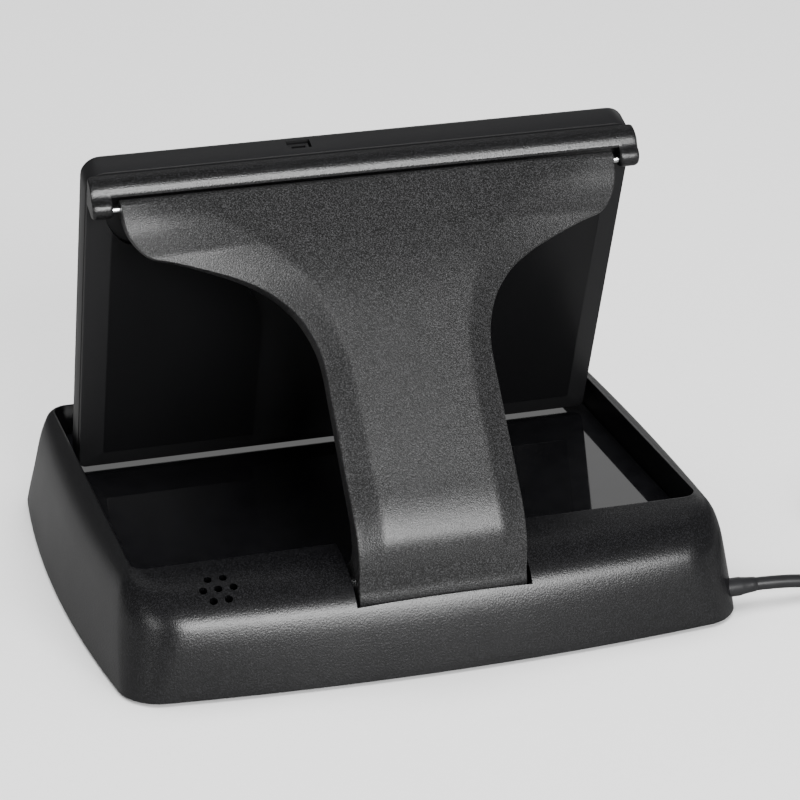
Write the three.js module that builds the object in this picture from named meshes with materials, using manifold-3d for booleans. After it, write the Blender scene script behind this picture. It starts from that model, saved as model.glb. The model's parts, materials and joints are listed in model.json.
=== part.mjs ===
// Folding video monitor: a small screen that stands on a tray-shaped base and folds down into it.
//
// A wide support arm is hinged in a notch in the rear rim of the base and carries the screen on
// two short steel pins at its top. The screen leans back against the arm with its lower edge just
// above the glossy floor of the tray. The screen faces -Y and the arm stands on the +Y side.
// Millimetres, +Z up, with the origin under the middle of the base at the level it stands on.

import * as THREE from 'three';
import { mergeVertices } from 'three/addons/utils/BufferGeometryUtils.js';
import Module from 'manifold-3d';

const wasm = await Module();
wasm.setup();

// ---------------------------------------------------------------- driving dimensions
const GAP = 0.3; // air between pieces that touch on the real object

const RIM_Z = 22.6; // height of the tray's rim
const SHELL_BOTTOM_Z = 0.6;
const BASE_HEIGHT = RIM_Z - SHELL_BOTTOM_Z;
const SKIN = 2.2; // wall of the base shell
const TRAY = { halfX: 58.5, nearY: 38.75, farY: -46.25, depth: 6.8, corner: 3 };
const FLOOR_Z = RIM_Z - TRAY.depth;
const FLOOR_PANEL = 1.2;
const WEB = 1.6; // shell web that carries the tray floor
const WEB_TOP_Z = FLOOR_Z - FLOOR_PANEL - GAP;
const WEB_BOTTOM_Z = WEB_TOP_Z - WEB;

const NOTCH = { halfX: 17.9, nearY: 53.95, farY: 39.15, floorZ: 7.7, wall: 1.8 };
const ARM_PIVOT = { y: 45.25, z: 16.6 };
const SCREEN_PIVOT = { y: 3.95, z: 83.9 };
const ARM_LEAN = THREE.MathUtils.degToRad(38.5); // arm's plate from the vertical
const SCREEN_LEAN = THREE.MathUtils.degToRad(20.2); // screen from the vertical

const ARM_PIN_RADIUS = 1.5;
const ARM_BARREL_RADIUS = 8.35;
const ARM_EYE_RADIUS = 3.9;
const RUNNING_BORE_RADIUS = 1.62; // bore around the arm pin, measured at its facets' corners

const SCREEN = { halfX: 57.15, topZ: 5.1, bottomZ: -73.3, corner: 4 };
const BEZEL = { frontY: -11.5, backY: -5.45, face: 1.6, wall: 1.8 };
const REAR = { seamY: -5.15, shoulderY: -4.1, plateauY: -2.6, skin: 1.3, bevel: 5.2 };
const WINDOW = { halfX: 47.8, topZ: -3.3, bottomZ: -57.5 };
const BUTTON = { width: 7, height: 2.6, z: -68.4, pitch: 13, count: 4, proud: 0.6, flangeY: -9.6 };
const CATCH = { x0: 10.7, x1: 15.6, y0: -9.9, y1: -7.4 };

const WING_HALF = 51.3; // half width of the arm's wing at the screen pivot
const EAR = { inner: 52.9, outer: 56.9, radius: 2.1, y: -0.4, z: 0.3 };
const TOP_PIN_RADIUS = 0.65;
const KNUCKLE_RADIUS = 2.1;

const CORD_DIAMETER = 2.8;
const CORD_EXIT = { x: -64.6, y: 47, z: 4.8 };
const COIL = { x: -118, innerTurn: 11.2, turns: 5, layers: 2 };
const PLUG = { y: -4, z: 4.5, gripLength: 24, sleeveLength: 10, reliefLength: 9 };

// ---------------------------------------------------------------- geometry helpers
function toSolid(geometry) {
  const bare = geometry.index ? geometry.clone() : geometry;
  bare.deleteAttribute('normal');
  bare.deleteAttribute('uv');
  const merged = mergeVertices(bare, 1e-4);
  return new wasm.Manifold(new wasm.Mesh({
    numProp: 3,
    vertProperties: new Float32Array(merged.attributes.position.array),
    triVerts: new Uint32Array(merged.index.array),
  }));
}

function toGeometry(solid) {
  const mesh = solid.getMesh();
  const geometry = new THREE.BufferGeometry();
  geometry.setAttribute('position', new THREE.Float32BufferAttribute(mesh.vertProperties, 3));
  geometry.setIndex(new THREE.Uint32BufferAttribute(mesh.triVerts, 1));
  return geometry;
}

const join = (...solids) => solids.reduce((sum, solid) => sum.add(solid));
const cut = (solid, ...tools) => tools.reduce((rest, tool) => rest.subtract(tool), solid);

function box(x0, x1, y0, y1, z0, z1) {
  const geometry = new THREE.BoxGeometry(x1 - x0, y1 - y0, z1 - z0);
  return toSolid(geometry.translate((x0 + x1) / 2, (y0 + y1) / 2, (z0 + z1) / 2));
}

// A cylinder between two points.
function rod(from, to, radius, sides = 16, endRadius = radius) {
  const start = new THREE.Vector3(...from);
  const along = new THREE.Vector3(...to).sub(start);
  const geometry = new THREE.CylinderGeometry(endRadius, radius, along.length(), sides);
  const turn = new THREE.Quaternion().setFromUnitVectors(
    new THREE.Vector3(0, 1, 0), along.clone().normalize());
  geometry.applyQuaternion(turn);
  geometry.translate(...start.addScaledVector(along, 0.5).toArray());
  return toSolid(geometry);
}

// A shape drawn in the (y, z) plane, extruded along X.
function sideProfile(points, x0, x1) {
  const shape = new THREE.Shape(points.map(([y, z]) => new THREE.Vector2(y, z)));
  const geometry = new THREE.ExtrudeGeometry(shape, { depth: x1 - x0, bevelEnabled: false });
  const axes = new THREE.Matrix4().set(0, 0, 1, x0, 1, 0, 0, 0, 0, 1, 0, 0, 0, 0, 0, 1);
  return toSolid(geometry.applyMatrix4(axes));
}

// A closed skin through rings that all have the same number of points.
function loft(rings) {
  const count = rings[0].length;
  const position = rings.flat(2);
  const index = [];
  for (let ring = 0; ring < rings.length - 1; ring += 1) {
    for (let i = 0; i < count; i += 1) {
      const a = ring * count + i;
      const b = ring * count + (i + 1) % count;
      index.push(a, b, b + count, a, b + count, a + count);
    }
  }
  const capPoints = (ring) => rings[ring].map(([x, y]) => new THREE.Vector2(x, y));
  const last = (rings.length - 1) * count;
  for (const [a, b, c] of THREE.ShapeUtils.triangulateShape(capPoints(0), [])) {
    index.push(a, c, b);
  }
  for (const [a, b, c] of THREE.ShapeUtils.triangulateShape(capPoints(rings.length - 1), [])) {
    index.push(last + a, last + b, last + c);
  }
  const geometry = new THREE.BufferGeometry();
  geometry.setAttribute('position', new THREE.Float32BufferAttribute(position, 3));
  geometry.setIndex(index);
  return toSolid(geometry);
}

// A rounded rectangle as a ring of [x, y] points, counter-clockwise from its +X side.
function roundedOutline(x0, x1, y0, y1, radius, cornerSteps = 5, edgeSteps = 1) {
  const corners = [
    [x1 - radius, y1 - radius, 0], [x0 + radius, y1 - radius, 90],
    [x0 + radius, y0 + radius, 180], [x1 - radius, y0 + radius, 270],
  ];
  const points = [];
  corners.forEach(([cx, cy, start], corner) => {
    for (let step = 0; step <= cornerSteps; step += 1) {
      const angle = THREE.MathUtils.degToRad(start + (90 * step) / cornerSteps);
      points.push([cx + radius * Math.cos(angle), cy + radius * Math.sin(angle)]);
    }
    const [nextX, nextY, nextStart] = corners[(corner + 1) % 4];
    const nextAngle = THREE.MathUtils.degToRad(nextStart);
    const end = [nextX + radius * Math.cos(nextAngle), nextY + radius * Math.sin(nextAngle)];
    const begin = points[points.length - 1];
    for (let step = 1; step < edgeSteps; step += 1) {
      const t = step / edgeSteps;
      points.push([begin[0] + (end[0] - begin[0]) * t, begin[1] + (end[1] - begin[1]) * t]);
    }
  });
  return points;
}

// A plate with a rounded outline in (x, y) between two heights.
function plate(x0, x1, y0, y1, radius, z0, z1) {
  const ring = roundedOutline(x0, x1, y0, y1, radius);
  return loft([ring.map(([x, y]) => [x, y, z0]), ring.map(([x, y]) => [x, y, z1])]);
}

// A panel with a rounded outline in (x, z) between two depths along Y.
function panel(x0, x1, z0, z1, radius, y0, y1) {
  const ring = roundedOutline(x0, x1, -z1, -z0, radius);
  const upright = new THREE.Matrix4().makeRotationX(-Math.PI / 2);
  const flat = loft([ring.map(([x, y]) => [x, y, y0]), ring.map(([x, y]) => [x, y, y1])]);
  return toSolid(toGeometry(flat).applyMatrix4(upright));
}

function finish(hex, roughness, metalness = 0) {
  return new THREE.MeshStandardMaterial({ color: hex, roughness, metalness });
}

const FINISH = {
  satinBlack: finish(0x1c1c1e, 0.45),
  armGrey: finish(0x39393b, 0.6),
  glossBlack: finish(0x0b0b0c, 0.12),
  bezelBlack: finish(0x242426, 0.4),
  steel: finish(0xc9cbcd, 0.2, 1),
  screwSteel: finish(0x4a4b4e, 0.35, 1),
  foam: finish(0x18181a, 0.95),
  board: finish(0x14492c, 0.5),
  glass: finish(0x08090b, 0.06),
  tin: finish(0x9a9da1, 0.35, 1),
  cordBlack: finish(0x151516, 0.5),
  ribbon: finish(0xd8d5cc, 0.5),
  button: finish(0x2a2a2c, 0.5),
};

function named(name, solid, material) {
  const mesh = new THREE.Mesh(toGeometry(solid), material);
  mesh.name = name;
  return mesh;
}

// ---------------------------------------------------------------- base
// The outside of the base, from the tray's edge outwards and down: how far each level stands
// outside the tray at the rear (near), the sides and the front (far), and its corner radius.
const BASE_LEVELS = [
  { drop: 0, near: 0, side: 0, far: 0, corner: 3 },
  { drop: 0.15, near: 1.5, side: 0.9, far: 0.8, corner: 3.8 },
  { drop: 0.7, near: 5, side: 2.2, far: 2.0, corner: 5.5 },
  { drop: 1.8, near: 9, side: 3.5, far: 3.2, corner: 8 },
  { drop: 3.6, near: 12.3, side: 4.7, far: 4.4, corner: 10 },
  { drop: 6.2, near: 14.9, side: 5.7, far: 5.5, corner: 11 },
  { drop: 9.5, near: 16.3, side: 6.5, far: 6.6, corner: 11 },
  { drop: 14, near: 17.3, side: 7.5, far: 8.2, corner: 10 },
  { drop: 19.5, near: 18.2, side: 8.7, far: 10.2, corner: 8 },
  { drop: 22, near: 18.5, side: 9.2, far: 11, corner: 7 },
];
const NEAR_BOW = 1120; // twice the radius of the rear edge's bow in plan
const SIDE_BOW = 800;
const SIDE_BOW_Y = -5;

function baseRing(level, inset = 0, lowered = 0) {
  const foot = BASE_LEVELS[BASE_LEVELS.length - 1];
  const halfX = TRAY.halfX + level.side - inset;
  const y0 = TRAY.farY - level.far + inset;
  const y1 = TRAY.nearY + level.near - inset;
  const corner = Math.max(level.corner - inset / 2, 2);
  const bow = level.side / foot.side;
  const z = RIM_Z - level.drop - lowered;
  return roundedOutline(-halfX, halfX, y0, y1, corner, 5, 6).map(([x, y]) => {
    const sideDrop = (bow * (y - SIDE_BOW_Y) ** 2) / SIDE_BOW;
    const endDrop = (bow * x ** 2) / NEAR_BOW;
    return [x - Math.sign(x) * sideDrop * (Math.abs(x) / halfX),
      y - Math.sign(y) * endDrop * (Math.abs(y) / Math.abs(y > 0 ? y1 : y0)), z];
  });
}

const SPEAKER_HOLES = { x: 43.8, y: 47.3, z: 20.2, pitch: 3.0, radius: 0.8, tilt: 38 };

function speakerHoles() {
  const tilt = THREE.MathUtils.degToRad(SPEAKER_HOLES.tilt);
  const out = new THREE.Vector3(0, Math.sin(tilt), Math.cos(tilt));
  const across = new THREE.Vector3(1, 0, 0);
  const down = new THREE.Vector3(0, Math.cos(tilt), -Math.sin(tilt));
  const middle = new THREE.Vector3(SPEAKER_HOLES.x, SPEAKER_HOLES.y, SPEAKER_HOLES.z);
  const holes = [];
  for (let i = 0; i < 7; i += 1) {
    const angle = (i * Math.PI) / 3;
    const radius = i < 6 ? SPEAKER_HOLES.pitch : 0;
    const centre = middle.clone().addScaledVector(across, radius * Math.cos(angle))
      .addScaledVector(down, radius * Math.sin(angle));
    const inner = centre.clone().addScaledVector(out, -5);
    const outer = centre.clone().addScaledVector(out, 5);
    holes.push(rod(inner.toArray(), outer.toArray(), SPEAKER_HOLES.radius, 10));
  }
  return holes;
}

const SCREW_PLACES = [[-54, 26], [54, 26], [-54, -38], [54, -38]];
const BOARD_POSTS = [[-36, 18], [36, 18], [-36, -30], [36, -30]];

function baseTopShell() {
  const outside = loft([...BASE_LEVELS].reverse().map((level) => baseRing(level)));
  const hollow = loft([...BASE_LEVELS.slice(2)].reverse().map((level, i) => baseRing(
    level, SKIN, i ? SKIN * (1 - level.drop / BASE_HEIGHT) : SKIN)));
  const { halfX, nearY, farY, corner } = TRAY;
  const tub = plate(-halfX - 1.8, halfX + 1.8, farY - 1.8, nearY + 1.8, corner + 1,
    WEB_BOTTOM_Z, RIM_Z + 1);
  const pocket = plate(-halfX, halfX, farY, nearY, corner, WEB_TOP_Z, RIM_Z + 1);
  const { halfX: notchX, nearY: notchNear, farY: notchFar, floorZ, wall } = NOTCH;
  const hingeTub = box(-notchX - wall, notchX + wall, notchFar - wall, notchNear + 1.2,
    floorZ - wall, RIM_Z + 1);
  const hingePocket = box(-notchX, notchX, notchFar, notchNear, floorZ, RIM_Z + 2);
  const notch = box(-notchX, notchX, nearY - 1, notchFar + 1, FLOOR_Z + 0.6, RIM_Z + 2);
  const pinBore = rod([-notchX - 4, ARM_PIVOT.y, ARM_PIVOT.z],
    [notchX + 4, ARM_PIVOT.y, ARM_PIVOT.z], RUNNING_BORE_RADIUS, 20);
  const clipRoom = [-1, 1].map((side) => rod(
    [side * (notchX + wall), ARM_PIVOT.y, ARM_PIVOT.z],
    [side * (notchX + wall + 1.6), ARM_PIVOT.y, ARM_PIVOT.z], 2.9, 16));
  const cordBore = rod([CORD_EXIT.x - 4, CORD_EXIT.y, CORD_EXIT.z],
    [CORD_EXIT.x + 8, CORD_EXIT.y, CORD_EXIT.z], 2.9, 16);
  const bosses = SCREW_PLACES.map(([x, y]) => rod([x, y, 3], [x, y, WEB_BOTTOM_Z + 0.5], 3.6, 14));
  const bossHoles = SCREW_PLACES.map(([x, y]) => rod([x, y, 2], [x, y, 10], 1.7, 10));
  const posts = BOARD_POSTS.map(([x, y]) => rod([x, y, 8.4], [x, y, WEB_BOTTOM_Z + 0.5], 2.4, 10));
  const inside = hollow.subtract(tub).subtract(hingeTub.intersect(outside));
  const shell = join(cut(outside, inside), ...bosses, ...posts);
  return cut(shell, pocket, hingePocket, notch, pinBore, cordBore, ...clipRoom, ...bossHoles,
    ...speakerHoles());
}

function trayFloor() {
  const { halfX, nearY, farY, corner } = TRAY;
  return plate(-halfX + GAP, halfX - GAP, farY + GAP, nearY - GAP, corner - GAP,
    FLOOR_Z - FLOOR_PANEL, FLOOR_Z);
}

const PAD = { halfX: 45, y0: -34, y1: 30, recess: 0.7 };

function bottomCover() {
  const ring = baseRing(BASE_LEVELS[BASE_LEVELS.length - 2], SKIN + GAP);
  const at = (z) => ring.map(([x, y]) => [x, y, z]);
  const cordRoom = rod([CORD_EXIT.x - 4, CORD_EXIT.y, CORD_EXIT.z],
    [CORD_EXIT.x + 9, CORD_EXIT.y, CORD_EXIT.z], 3.9, 16);
  const body = loft([at(SHELL_BOTTOM_Z), at(SHELL_BOTTOM_Z + 2)]);
  const holes = SCREW_PLACES.flatMap(([x, y]) => [
    rod([x, y, 0], [x, y, 5], 1.7, 10), rod([x, y, 0], [x, y, 1.5], 3.2, 16)]);
  const padSeat = plate(-PAD.halfX - GAP, PAD.halfX + GAP, PAD.y0 - GAP, PAD.y1 + GAP, 4,
    0, SHELL_BOTTOM_Z + PAD.recess);
  return cut(body, padSeat, cordRoom, ...holes);
}

function mountingPad() {
  return plate(-PAD.halfX, PAD.halfX, PAD.y0, PAD.y1, 4, 0, SHELL_BOTTOM_Z + PAD.recess - GAP);
}

function baseScrew([x, y]) {
  const head = rod([x, y, 0.55], [x, y, 1.2], 2.7, 16);
  const shank = rod([x, y, 1.1], [x, y, 8.5], 1.3, 10);
  const slot = box(x - 1.6, x + 1.6, y - 0.3, y + 0.3, 0, 0.9);
  const cross = box(x - 0.3, x + 0.3, y - 1.6, y + 1.6, 0, 0.9);
  return cut(join(head, shank), slot, cross);
}

function mainBoard() {
  const bare = plate(-42, 42, -34, 22, 2, 6.4, 8);
  const chips = [
    [-20, -6, -12, 2, 4.6, 6.6], [6, 16, -18, -8, 5.2, 6.6], [-34, -28, -26, -20, 3.2, 6.6],
    [24, 30, -2, 4, 3.4, 6.6], [12, 20, 8, 12, 4.9, 6.6],
  ];
  const holes = BOARD_POSTS.map(([x, y]) => rod([x, y, 5], [x, y, 9], 1.3, 8));
  return cut(join(bare, ...chips.map((size) => box(...size))), ...holes);
}

function speaker() {
  const frame = plate(36.3, 51.3, 41.2, 49.6, 3.5, 11, 13.6);
  const cone = plate(38, 49.6, 42.6, 48.2, 2.5, 13.4, 14.2);
  return join(frame, cone);
}

function cordGrommet() {
  const { x, y, z } = CORD_EXIT;
  const neck = rod([x - 0.4, y, z], [x + 6.5, y, z], 2.3, 16);
  const flange = rod([x + 6.4, y, z], [x + 8, y, z], 2.8, 16);
  const bore = rod([x - 2, y, z], [x + 9, y, z], CORD_DIAMETER / 2 + GAP, 16);
  return cut(join(neck, flange), bore);
}

function armPin() {
  const end = NOTCH.halfX + NOTCH.wall + 1.6;
  return rod([-end, ARM_PIVOT.y, ARM_PIVOT.z], [end, ARM_PIVOT.y, ARM_PIVOT.z], ARM_PIN_RADIUS, 16);
}

// A split clip that keeps the arm pin from sliding out of its cheeks.
function pinClip(side) {
  const x = side * (NOTCH.halfX + NOTCH.wall + GAP);
  const ring = rod([x, ARM_PIVOT.y, ARM_PIVOT.z],
    [x + side * 0.8, ARM_PIVOT.y, ARM_PIVOT.z], 2.6, 16);
  const bore = rod([x - 1, ARM_PIVOT.y, ARM_PIVOT.z], [x + 1, ARM_PIVOT.y, ARM_PIVOT.z],
    RUNNING_BORE_RADIUS, 16);
  const mouth = box(x - 1, x + 1, ARM_PIVOT.y - 0.9, ARM_PIVOT.y + 0.9, ARM_PIVOT.z - 4, ARM_PIVOT.z);
  return cut(ring, bore, mouth);
}

// ---------------------------------------------------------------- arm
// Stations down the arm, measured from the screen pivot in the plate's own plane. outer, edge and
// under are [distance down the plate, height above its plane] of the middle facet, of the outline
// and of the underside; half and facet are half widths of the outline and of the middle facet.
const ARM_STATIONS = [
  { outer: [0, 2.05], edge: [0, 1.9], under: [0, -1.4], half: 51.3, facet: 38 },
  { outer: [3, 2.75], edge: [3, 1.7], under: [3, -1.1], half: 51.2, facet: 34.2 },
  { outer: [6, 3.3], edge: [6, 1.8], under: [6, -0.8], half: 50.5, facet: 30.4 },
  { outer: [9, 3.8], edge: [9, 2.1], under: [9, -0.6], half: 48.8, facet: 27 },
  { outer: [11, 4.1], edge: [11, 2.3], under: [11, -0.5], half: 46.6, facet: 25 },
  { outer: [12.3, 4.3], edge: [12.3, 2.5], under: [12.3, -0.5], half: 42.6, facet: 23.7 },
  { outer: [14.6, 4.6], edge: [14.6, 2.8], under: [14.6, -0.5], half: 36.8, facet: 21.7 },
  { outer: [17.5, 4.9], edge: [17.5, 3.1], under: [17.5, -0.5], half: 30.6, facet: 19.4 },
  { outer: [21, 5.1], edge: [21, 3.2], under: [21, -0.5], half: 25.4, facet: 17.1 },
  { outer: [26, 5.2], edge: [26, 3.3], under: [26, -0.5], half: 20.9, facet: 15 },
  { outer: [31.5, 5.2], edge: [31.5, 3.3], under: [31.5, -0.5], half: 18.3, facet: 13.4 },
  { outer: [37, 5.2], edge: [37, 3.3], under: [37, -0.5], half: 17.2, facet: 12.4 },
  { outer: [45, 5.2], edge: [45, 3.3], under: [45, -0.5], half: 17.1, facet: 11.9 },
  { outer: [62, 5.2], edge: [62, 3.3], under: [62, -0.5], half: 17.1, facet: 11.8 },
  { outer: [67, 5.25], edge: [66.8, 3.4], under: [67.5, -0.6], half: 17.1, facet: 11.8 },
  { outer: [71, 4.9], edge: [70.6, 3.2], under: [70.5, -1.2], half: 17.1, facet: 11.8 },
  { outer: [74.5, 4], edge: [74, 2.5], under: [73, -2.6], half: 17.1, facet: 11.9 },
  { outer: [77.5, 2.1], edge: [77, 1.2], under: [74.4, -4.4], half: 17.1, facet: 12.1 },
  { outer: [79.8, 0.1], edge: [79.4, -0.5], under: [74.8, -6.2], half: 17.1, facet: 12.4 },
];
const BARREL_STEPS = 5;
const BARREL_ARC = { from: 25, to: 80 }; // degrees round the pivot, from the plate's normal

const armPivotLocal = (() => {
  const dy = ARM_PIVOT.y - SCREEN_PIVOT.y;
  const dz = ARM_PIVOT.z - SCREEN_PIVOT.z;
  const height = dy * Math.cos(ARM_LEAN) + dz * Math.sin(ARM_LEAN);
  const down = dy * Math.sin(ARM_LEAN) - dz * Math.cos(ARM_LEAN);
  return [down, height];
})();

function barrelStation(step) {
  const share = step / (BARREL_STEPS - 1);
  const angle = THREE.MathUtils.degToRad(
    BARREL_ARC.from + (BARREL_ARC.to - BARREL_ARC.from) * share);
  const [down, height] = armPivotLocal;
  const around = (radius) => [down + radius * Math.sin(angle), height + radius * Math.cos(angle)];
  return {
    outer: around(ARM_BARREL_RADIUS), edge: around(ARM_BARREL_RADIUS - 0.6 + 0.3 * share),
    under: [74.9 + 2.2 * share, -7.4 - 2.4 * share], half: 17.1, facet: 12.5 + share,
  };
}

const barrelStations = Array.from({ length: BARREL_STEPS }, (_, step) => barrelStation(step));
const allStations = [...ARM_STATIONS, ...barrelStations];

// A solid along the arm. shrink narrows it, and skin and floor move its top and underside.
function armBody(stations, { shrink = 0, skin = 0, raise = 0 } = {}) {
  const rings = stations.map(({ outer, edge, under, half, facet }) => {
    const wide = half - shrink;
    const flat = Math.min(facet, wide - 0.5);
    return [
      [-wide, edge[1] - skin, -edge[0]], [-flat, outer[1] - skin, -outer[0]],
      [flat, outer[1] - skin, -outer[0]], [wide, edge[1] - skin, -edge[0]],
      [wide, under[1] + raise, -under[0]], [-wide, under[1] + raise, -under[0]],
    ];
  });
  return loftAlong(rings);
}

// A loft whose end rings are convex and lie across the path.
function loftAlong(rings) {
  const count = rings[0].length;
  const index = [];
  for (let ring = 0; ring < rings.length - 1; ring += 1) {
    for (let i = 0; i < count; i += 1) {
      const a = ring * count + i;
      const b = ring * count + (i + 1) % count;
      index.push(a, b, b + count, a, b + count, a + count);
    }
  }
  const last = (rings.length - 1) * count;
  for (let i = 1; i < count - 1; i += 1) {
    index.push(0, i + 1, i, last, last + i, last + i + 1);
  }
  const geometry = new THREE.BufferGeometry();
  geometry.setAttribute('position', new THREE.Float32BufferAttribute(rings.flat(2), 3));
  geometry.setIndex(index);
  return toSolid(geometry);
}

const ARM_SCREWS = [[-30, 9, 3], [30, 9, 3], [0, 58, 4.4]]; // [x, down, top of the boss]
const coverStations = ARM_STATIONS.slice(2, 14);

function armCover() {
  const [down, height] = armPivotLocal;
  const knuckle = rod([-WING_HALF, 0, 0], [WING_HALF, 0, 0], KNUCKLE_RADIUS, 16);
  const eye = rod([-17.1, height, -down], [17.1, height, -down], ARM_EYE_RADIUS, 20);
  const pinBore = rod([-20, height, -down], [20, height, -down], RUNNING_BORE_RADIUS, 20);
  const cavity = armBody(coverStations, { shrink: 2, skin: 1.5, raise: -1 });
  const bosses = ARM_SCREWS.map(([x, p, top]) => rod([x, 1.2, -p], [x, top, -p], 2, 10));
  const bossHoles = ARM_SCREWS.map(([x, p]) => rod([x, 0, -p], [x, 2.6, -p], 1.1, 8));
  const topBores = [-1, 1].map((side) => rod([side * (WING_HALF + 1), 0, 0],
    [side * (WING_HALF - 6), 0, 0], TOP_PIN_RADIUS + 0.1, 12));
  const body = join(armBody(allStations), knuckle, eye);
  return cut(join(cut(body, cavity), ...bosses), pinBore, ...topBores, ...bossHoles);
}

function armInnerCover() {
  const body = armBody(coverStations.map((station) => ({
    ...station, outer: station.edge, edge: station.edge,
  })), { shrink: 2 + GAP, skin: 1.5 + GAP }).intersect(box(-60, 60, -5, 0.6, -70, 0));
  const holes = ARM_SCREWS.flatMap(([x, p]) => [
    rod([x, -2, -p], [x, 2, -p], 1.1, 8), rod([x, -2, -p], [x, 0, -p], 2.1, 12)]);
  const trimTop = box(-60, 60, -5, 5, -6 - GAP, 5);
  const trimLow = box(-60, 60, -5, 5, -70, -62 + GAP);
  return cut(body, trimTop, trimLow, ...holes);
}

function armScrew([x, p]) {
  return join(rod([x, -0.75, -p], [x, -0.25, -p], 1.7, 12), rod([x, -0.4, -p], [x, 2.3, -p], 0.7, 8));
}

function armHarness() {
  const width = 9;
  return box(-width, width, 1.2, 2.2, -56, -12);
}

// ---------------------------------------------------------------- screen
const SCREEN_Z0 = SCREEN.bottomZ;
const SCREEN_Z1 = SCREEN.topZ;
const buttonX = (i) => (i - (BUTTON.count - 1) / 2) * BUTTON.pitch;

function frontBezel() {
  const { halfX, corner } = SCREEN;
  const { frontY, backY, face, wall } = BEZEL;
  const soft = 0.6;
  const outer = panelLoft([
    [frontY, soft], [frontY + soft, 0], [backY, 0],
  ], halfX, SCREEN_Z0, SCREEN_Z1, corner);
  const cavity = panel(-halfX + wall, halfX - wall, SCREEN_Z0 + wall, SCREEN_Z1 - wall,
    corner - 1.5, frontY + face, backY + 1);
  const window = panelLoft([[frontY - 1, -2.6], [frontY + face + 1, 0]],
    WINDOW.halfX, WINDOW.bottomZ, WINDOW.topZ, 1);
  const holes = Array.from({ length: BUTTON.count }, (_, i) => panel(
    buttonX(i) - BUTTON.width / 2 - GAP, buttonX(i) + BUTTON.width / 2 + GAP,
    BUTTON.z - BUTTON.height / 2 - GAP, BUTTON.z + BUTTON.height / 2 + GAP, 1.2,
    frontY - 1, frontY + face + 1));
  const catchSlot = box(CATCH.x0, CATCH.x1, CATCH.y0, CATCH.y1, SCREEN_Z1 - wall - 1, SCREEN_Z1 + 1);
  return cut(outer, cavity, window, catchSlot, ...holes);
}

// A loft of rounded (x, z) outlines along Y; each level is [y, inset].
function panelLoft(levels, halfX, z0, z1, corner) {
  const upright = new THREE.Matrix4().makeRotationX(-Math.PI / 2);
  const rings = levels.map(([y, inset]) => roundedOutline(-halfX + inset, halfX - inset,
    -z1 + inset, -z0 - inset, Math.max(corner - inset, 0.8)).map(([x, z]) => [x, z, y]));
  return toSolid(toGeometry(loft(rings)).applyMatrix4(upright));
}

const RAIL_TOP = [
  [REAR.seamY, 4.85], [-4.3, 4.85], [-3.1, 4.65], [-2.1, 4.15], [-1.3, 3.4], [-0.85, 2.6],
];

function earProfile() {
  const points = [];
  for (let step = 0; step <= 10; step += 1) {
    const angle = THREE.MathUtils.degToRad(85 - (step * 175) / 10);
    points.push([EAR.y + EAR.radius * Math.cos(angle), EAR.z + EAR.radius * Math.sin(angle)]);
  }
  return [...RAIL_TOP.slice(0, -1), ...points, [REAR.plateauY, EAR.z - EAR.radius],
    [REAR.seamY, EAR.z - EAR.radius]];
}

function railProfile() {
  return [...RAIL_TOP, [-0.95, 2.4], [-1.6, 2.05], [-2.3, 1.3], [-2.65, 0], [-2.9, -1], [-3.4, -1.8],
    [REAR.seamY, -1.8]];
}

const POCKET = { depth: 0.9, margin: 2.4 };

function armPocket() {
  const y = REAR.plateauY - POCKET.depth;
  const rings = ARM_STATIONS.slice(0, 16).map(({ outer, half }) => {
    const wide = half + POCKET.margin;
    const z = -outer[0] - (outer[0] > 60 ? 1 : 0);
    return [[-wide, y, z], [-wide, 3, z], [wide, 3, z], [wide, y, z]];
  });
  return loftAlong(rings);
}

function rearHousing() {
  const { halfX, corner } = SCREEN;
  const { seamY, shoulderY, plateauY, skin, bevel } = REAR;
  const low = SCREEN_Z0 + 0.2;
  const high = SCREEN_Z1 - 0.25;
  const outline = (y, side, foot, radius) => roundedOutline(-halfX + side, halfX - side,
    -high, -low - foot, radius).map(([x, z]) => [x, z, y]);
  const upright = new THREE.Matrix4().makeRotationX(-Math.PI / 2);
  const stand = (rings) => toSolid(toGeometry(loft(rings)).applyMatrix4(upright));
  const outer = stand([outline(seamY, 0.25, 0, corner), outline(shoulderY, 0.45, 0.1, corner),
    outline(plateauY, bevel, bevel, 2)]);
  const top = box(-halfX - 1, halfX + 1, shoulderY + 0.2, 4, EAR.z - EAR.radius, 10);
  const hollow = stand([
    outline(seamY - 1, 2, 1.8, corner - 1), outline(shoulderY - 0.3, 2.2, 2, corner - 1),
    outline(plateauY - skin - POCKET.depth, bevel + 1, bevel + 1, 1.5)]);
  const rail = sideProfile(railProfile(), -EAR.outer, EAR.outer);
  const ears = [-1, 1].map((side) => sideProfile(earProfile(),
    Math.min(side * EAR.inner, side * EAR.outer), Math.max(side * EAR.inner, side * EAR.outer)));
  const pins = [-1, 1].map((side) => rod([side * (EAR.inner - 1), 0, 0],
    [side * (EAR.outer - 0.8), 0, 0], TOP_PIN_RADIUS + GAP, 12));
  const bodyParts = join(cut(outer, top, armPocket()), rail, ...ears);
  return cut(bodyParts, hollow, ...pins);
}

function topPin(side) {
  return rod([side * (WING_HALF - 5.5), 0, 0], [side * (EAR.outer - 1.2), 0, 0], TOP_PIN_RADIUS, 12);
}

function displayGlass() {
  return panel(-48.6, 48.6, -58.3, -2.5, 0.8, -9.55, -8.7);
}

function displayModule() {
  const tray = panel(-52.75, 52.75, -65.5, 1.7, 1, -8.4, -6.4);
  const tail = box(-12, 12, -7.6, -6.9, -66.6, -65.4);
  return join(tray, tail);
}

function driverBoard() {
  const bare = panel(-45, 45, -55, -8, 1.5, -6.1, -5.2);
  const chips = [[-18, -4, -5.4, -4.95, -36, -22], [8, 16, -5.4, -4.95, -24, -16]];
  return join(bare, ...chips.map((size) => box(...size)));
}

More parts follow.
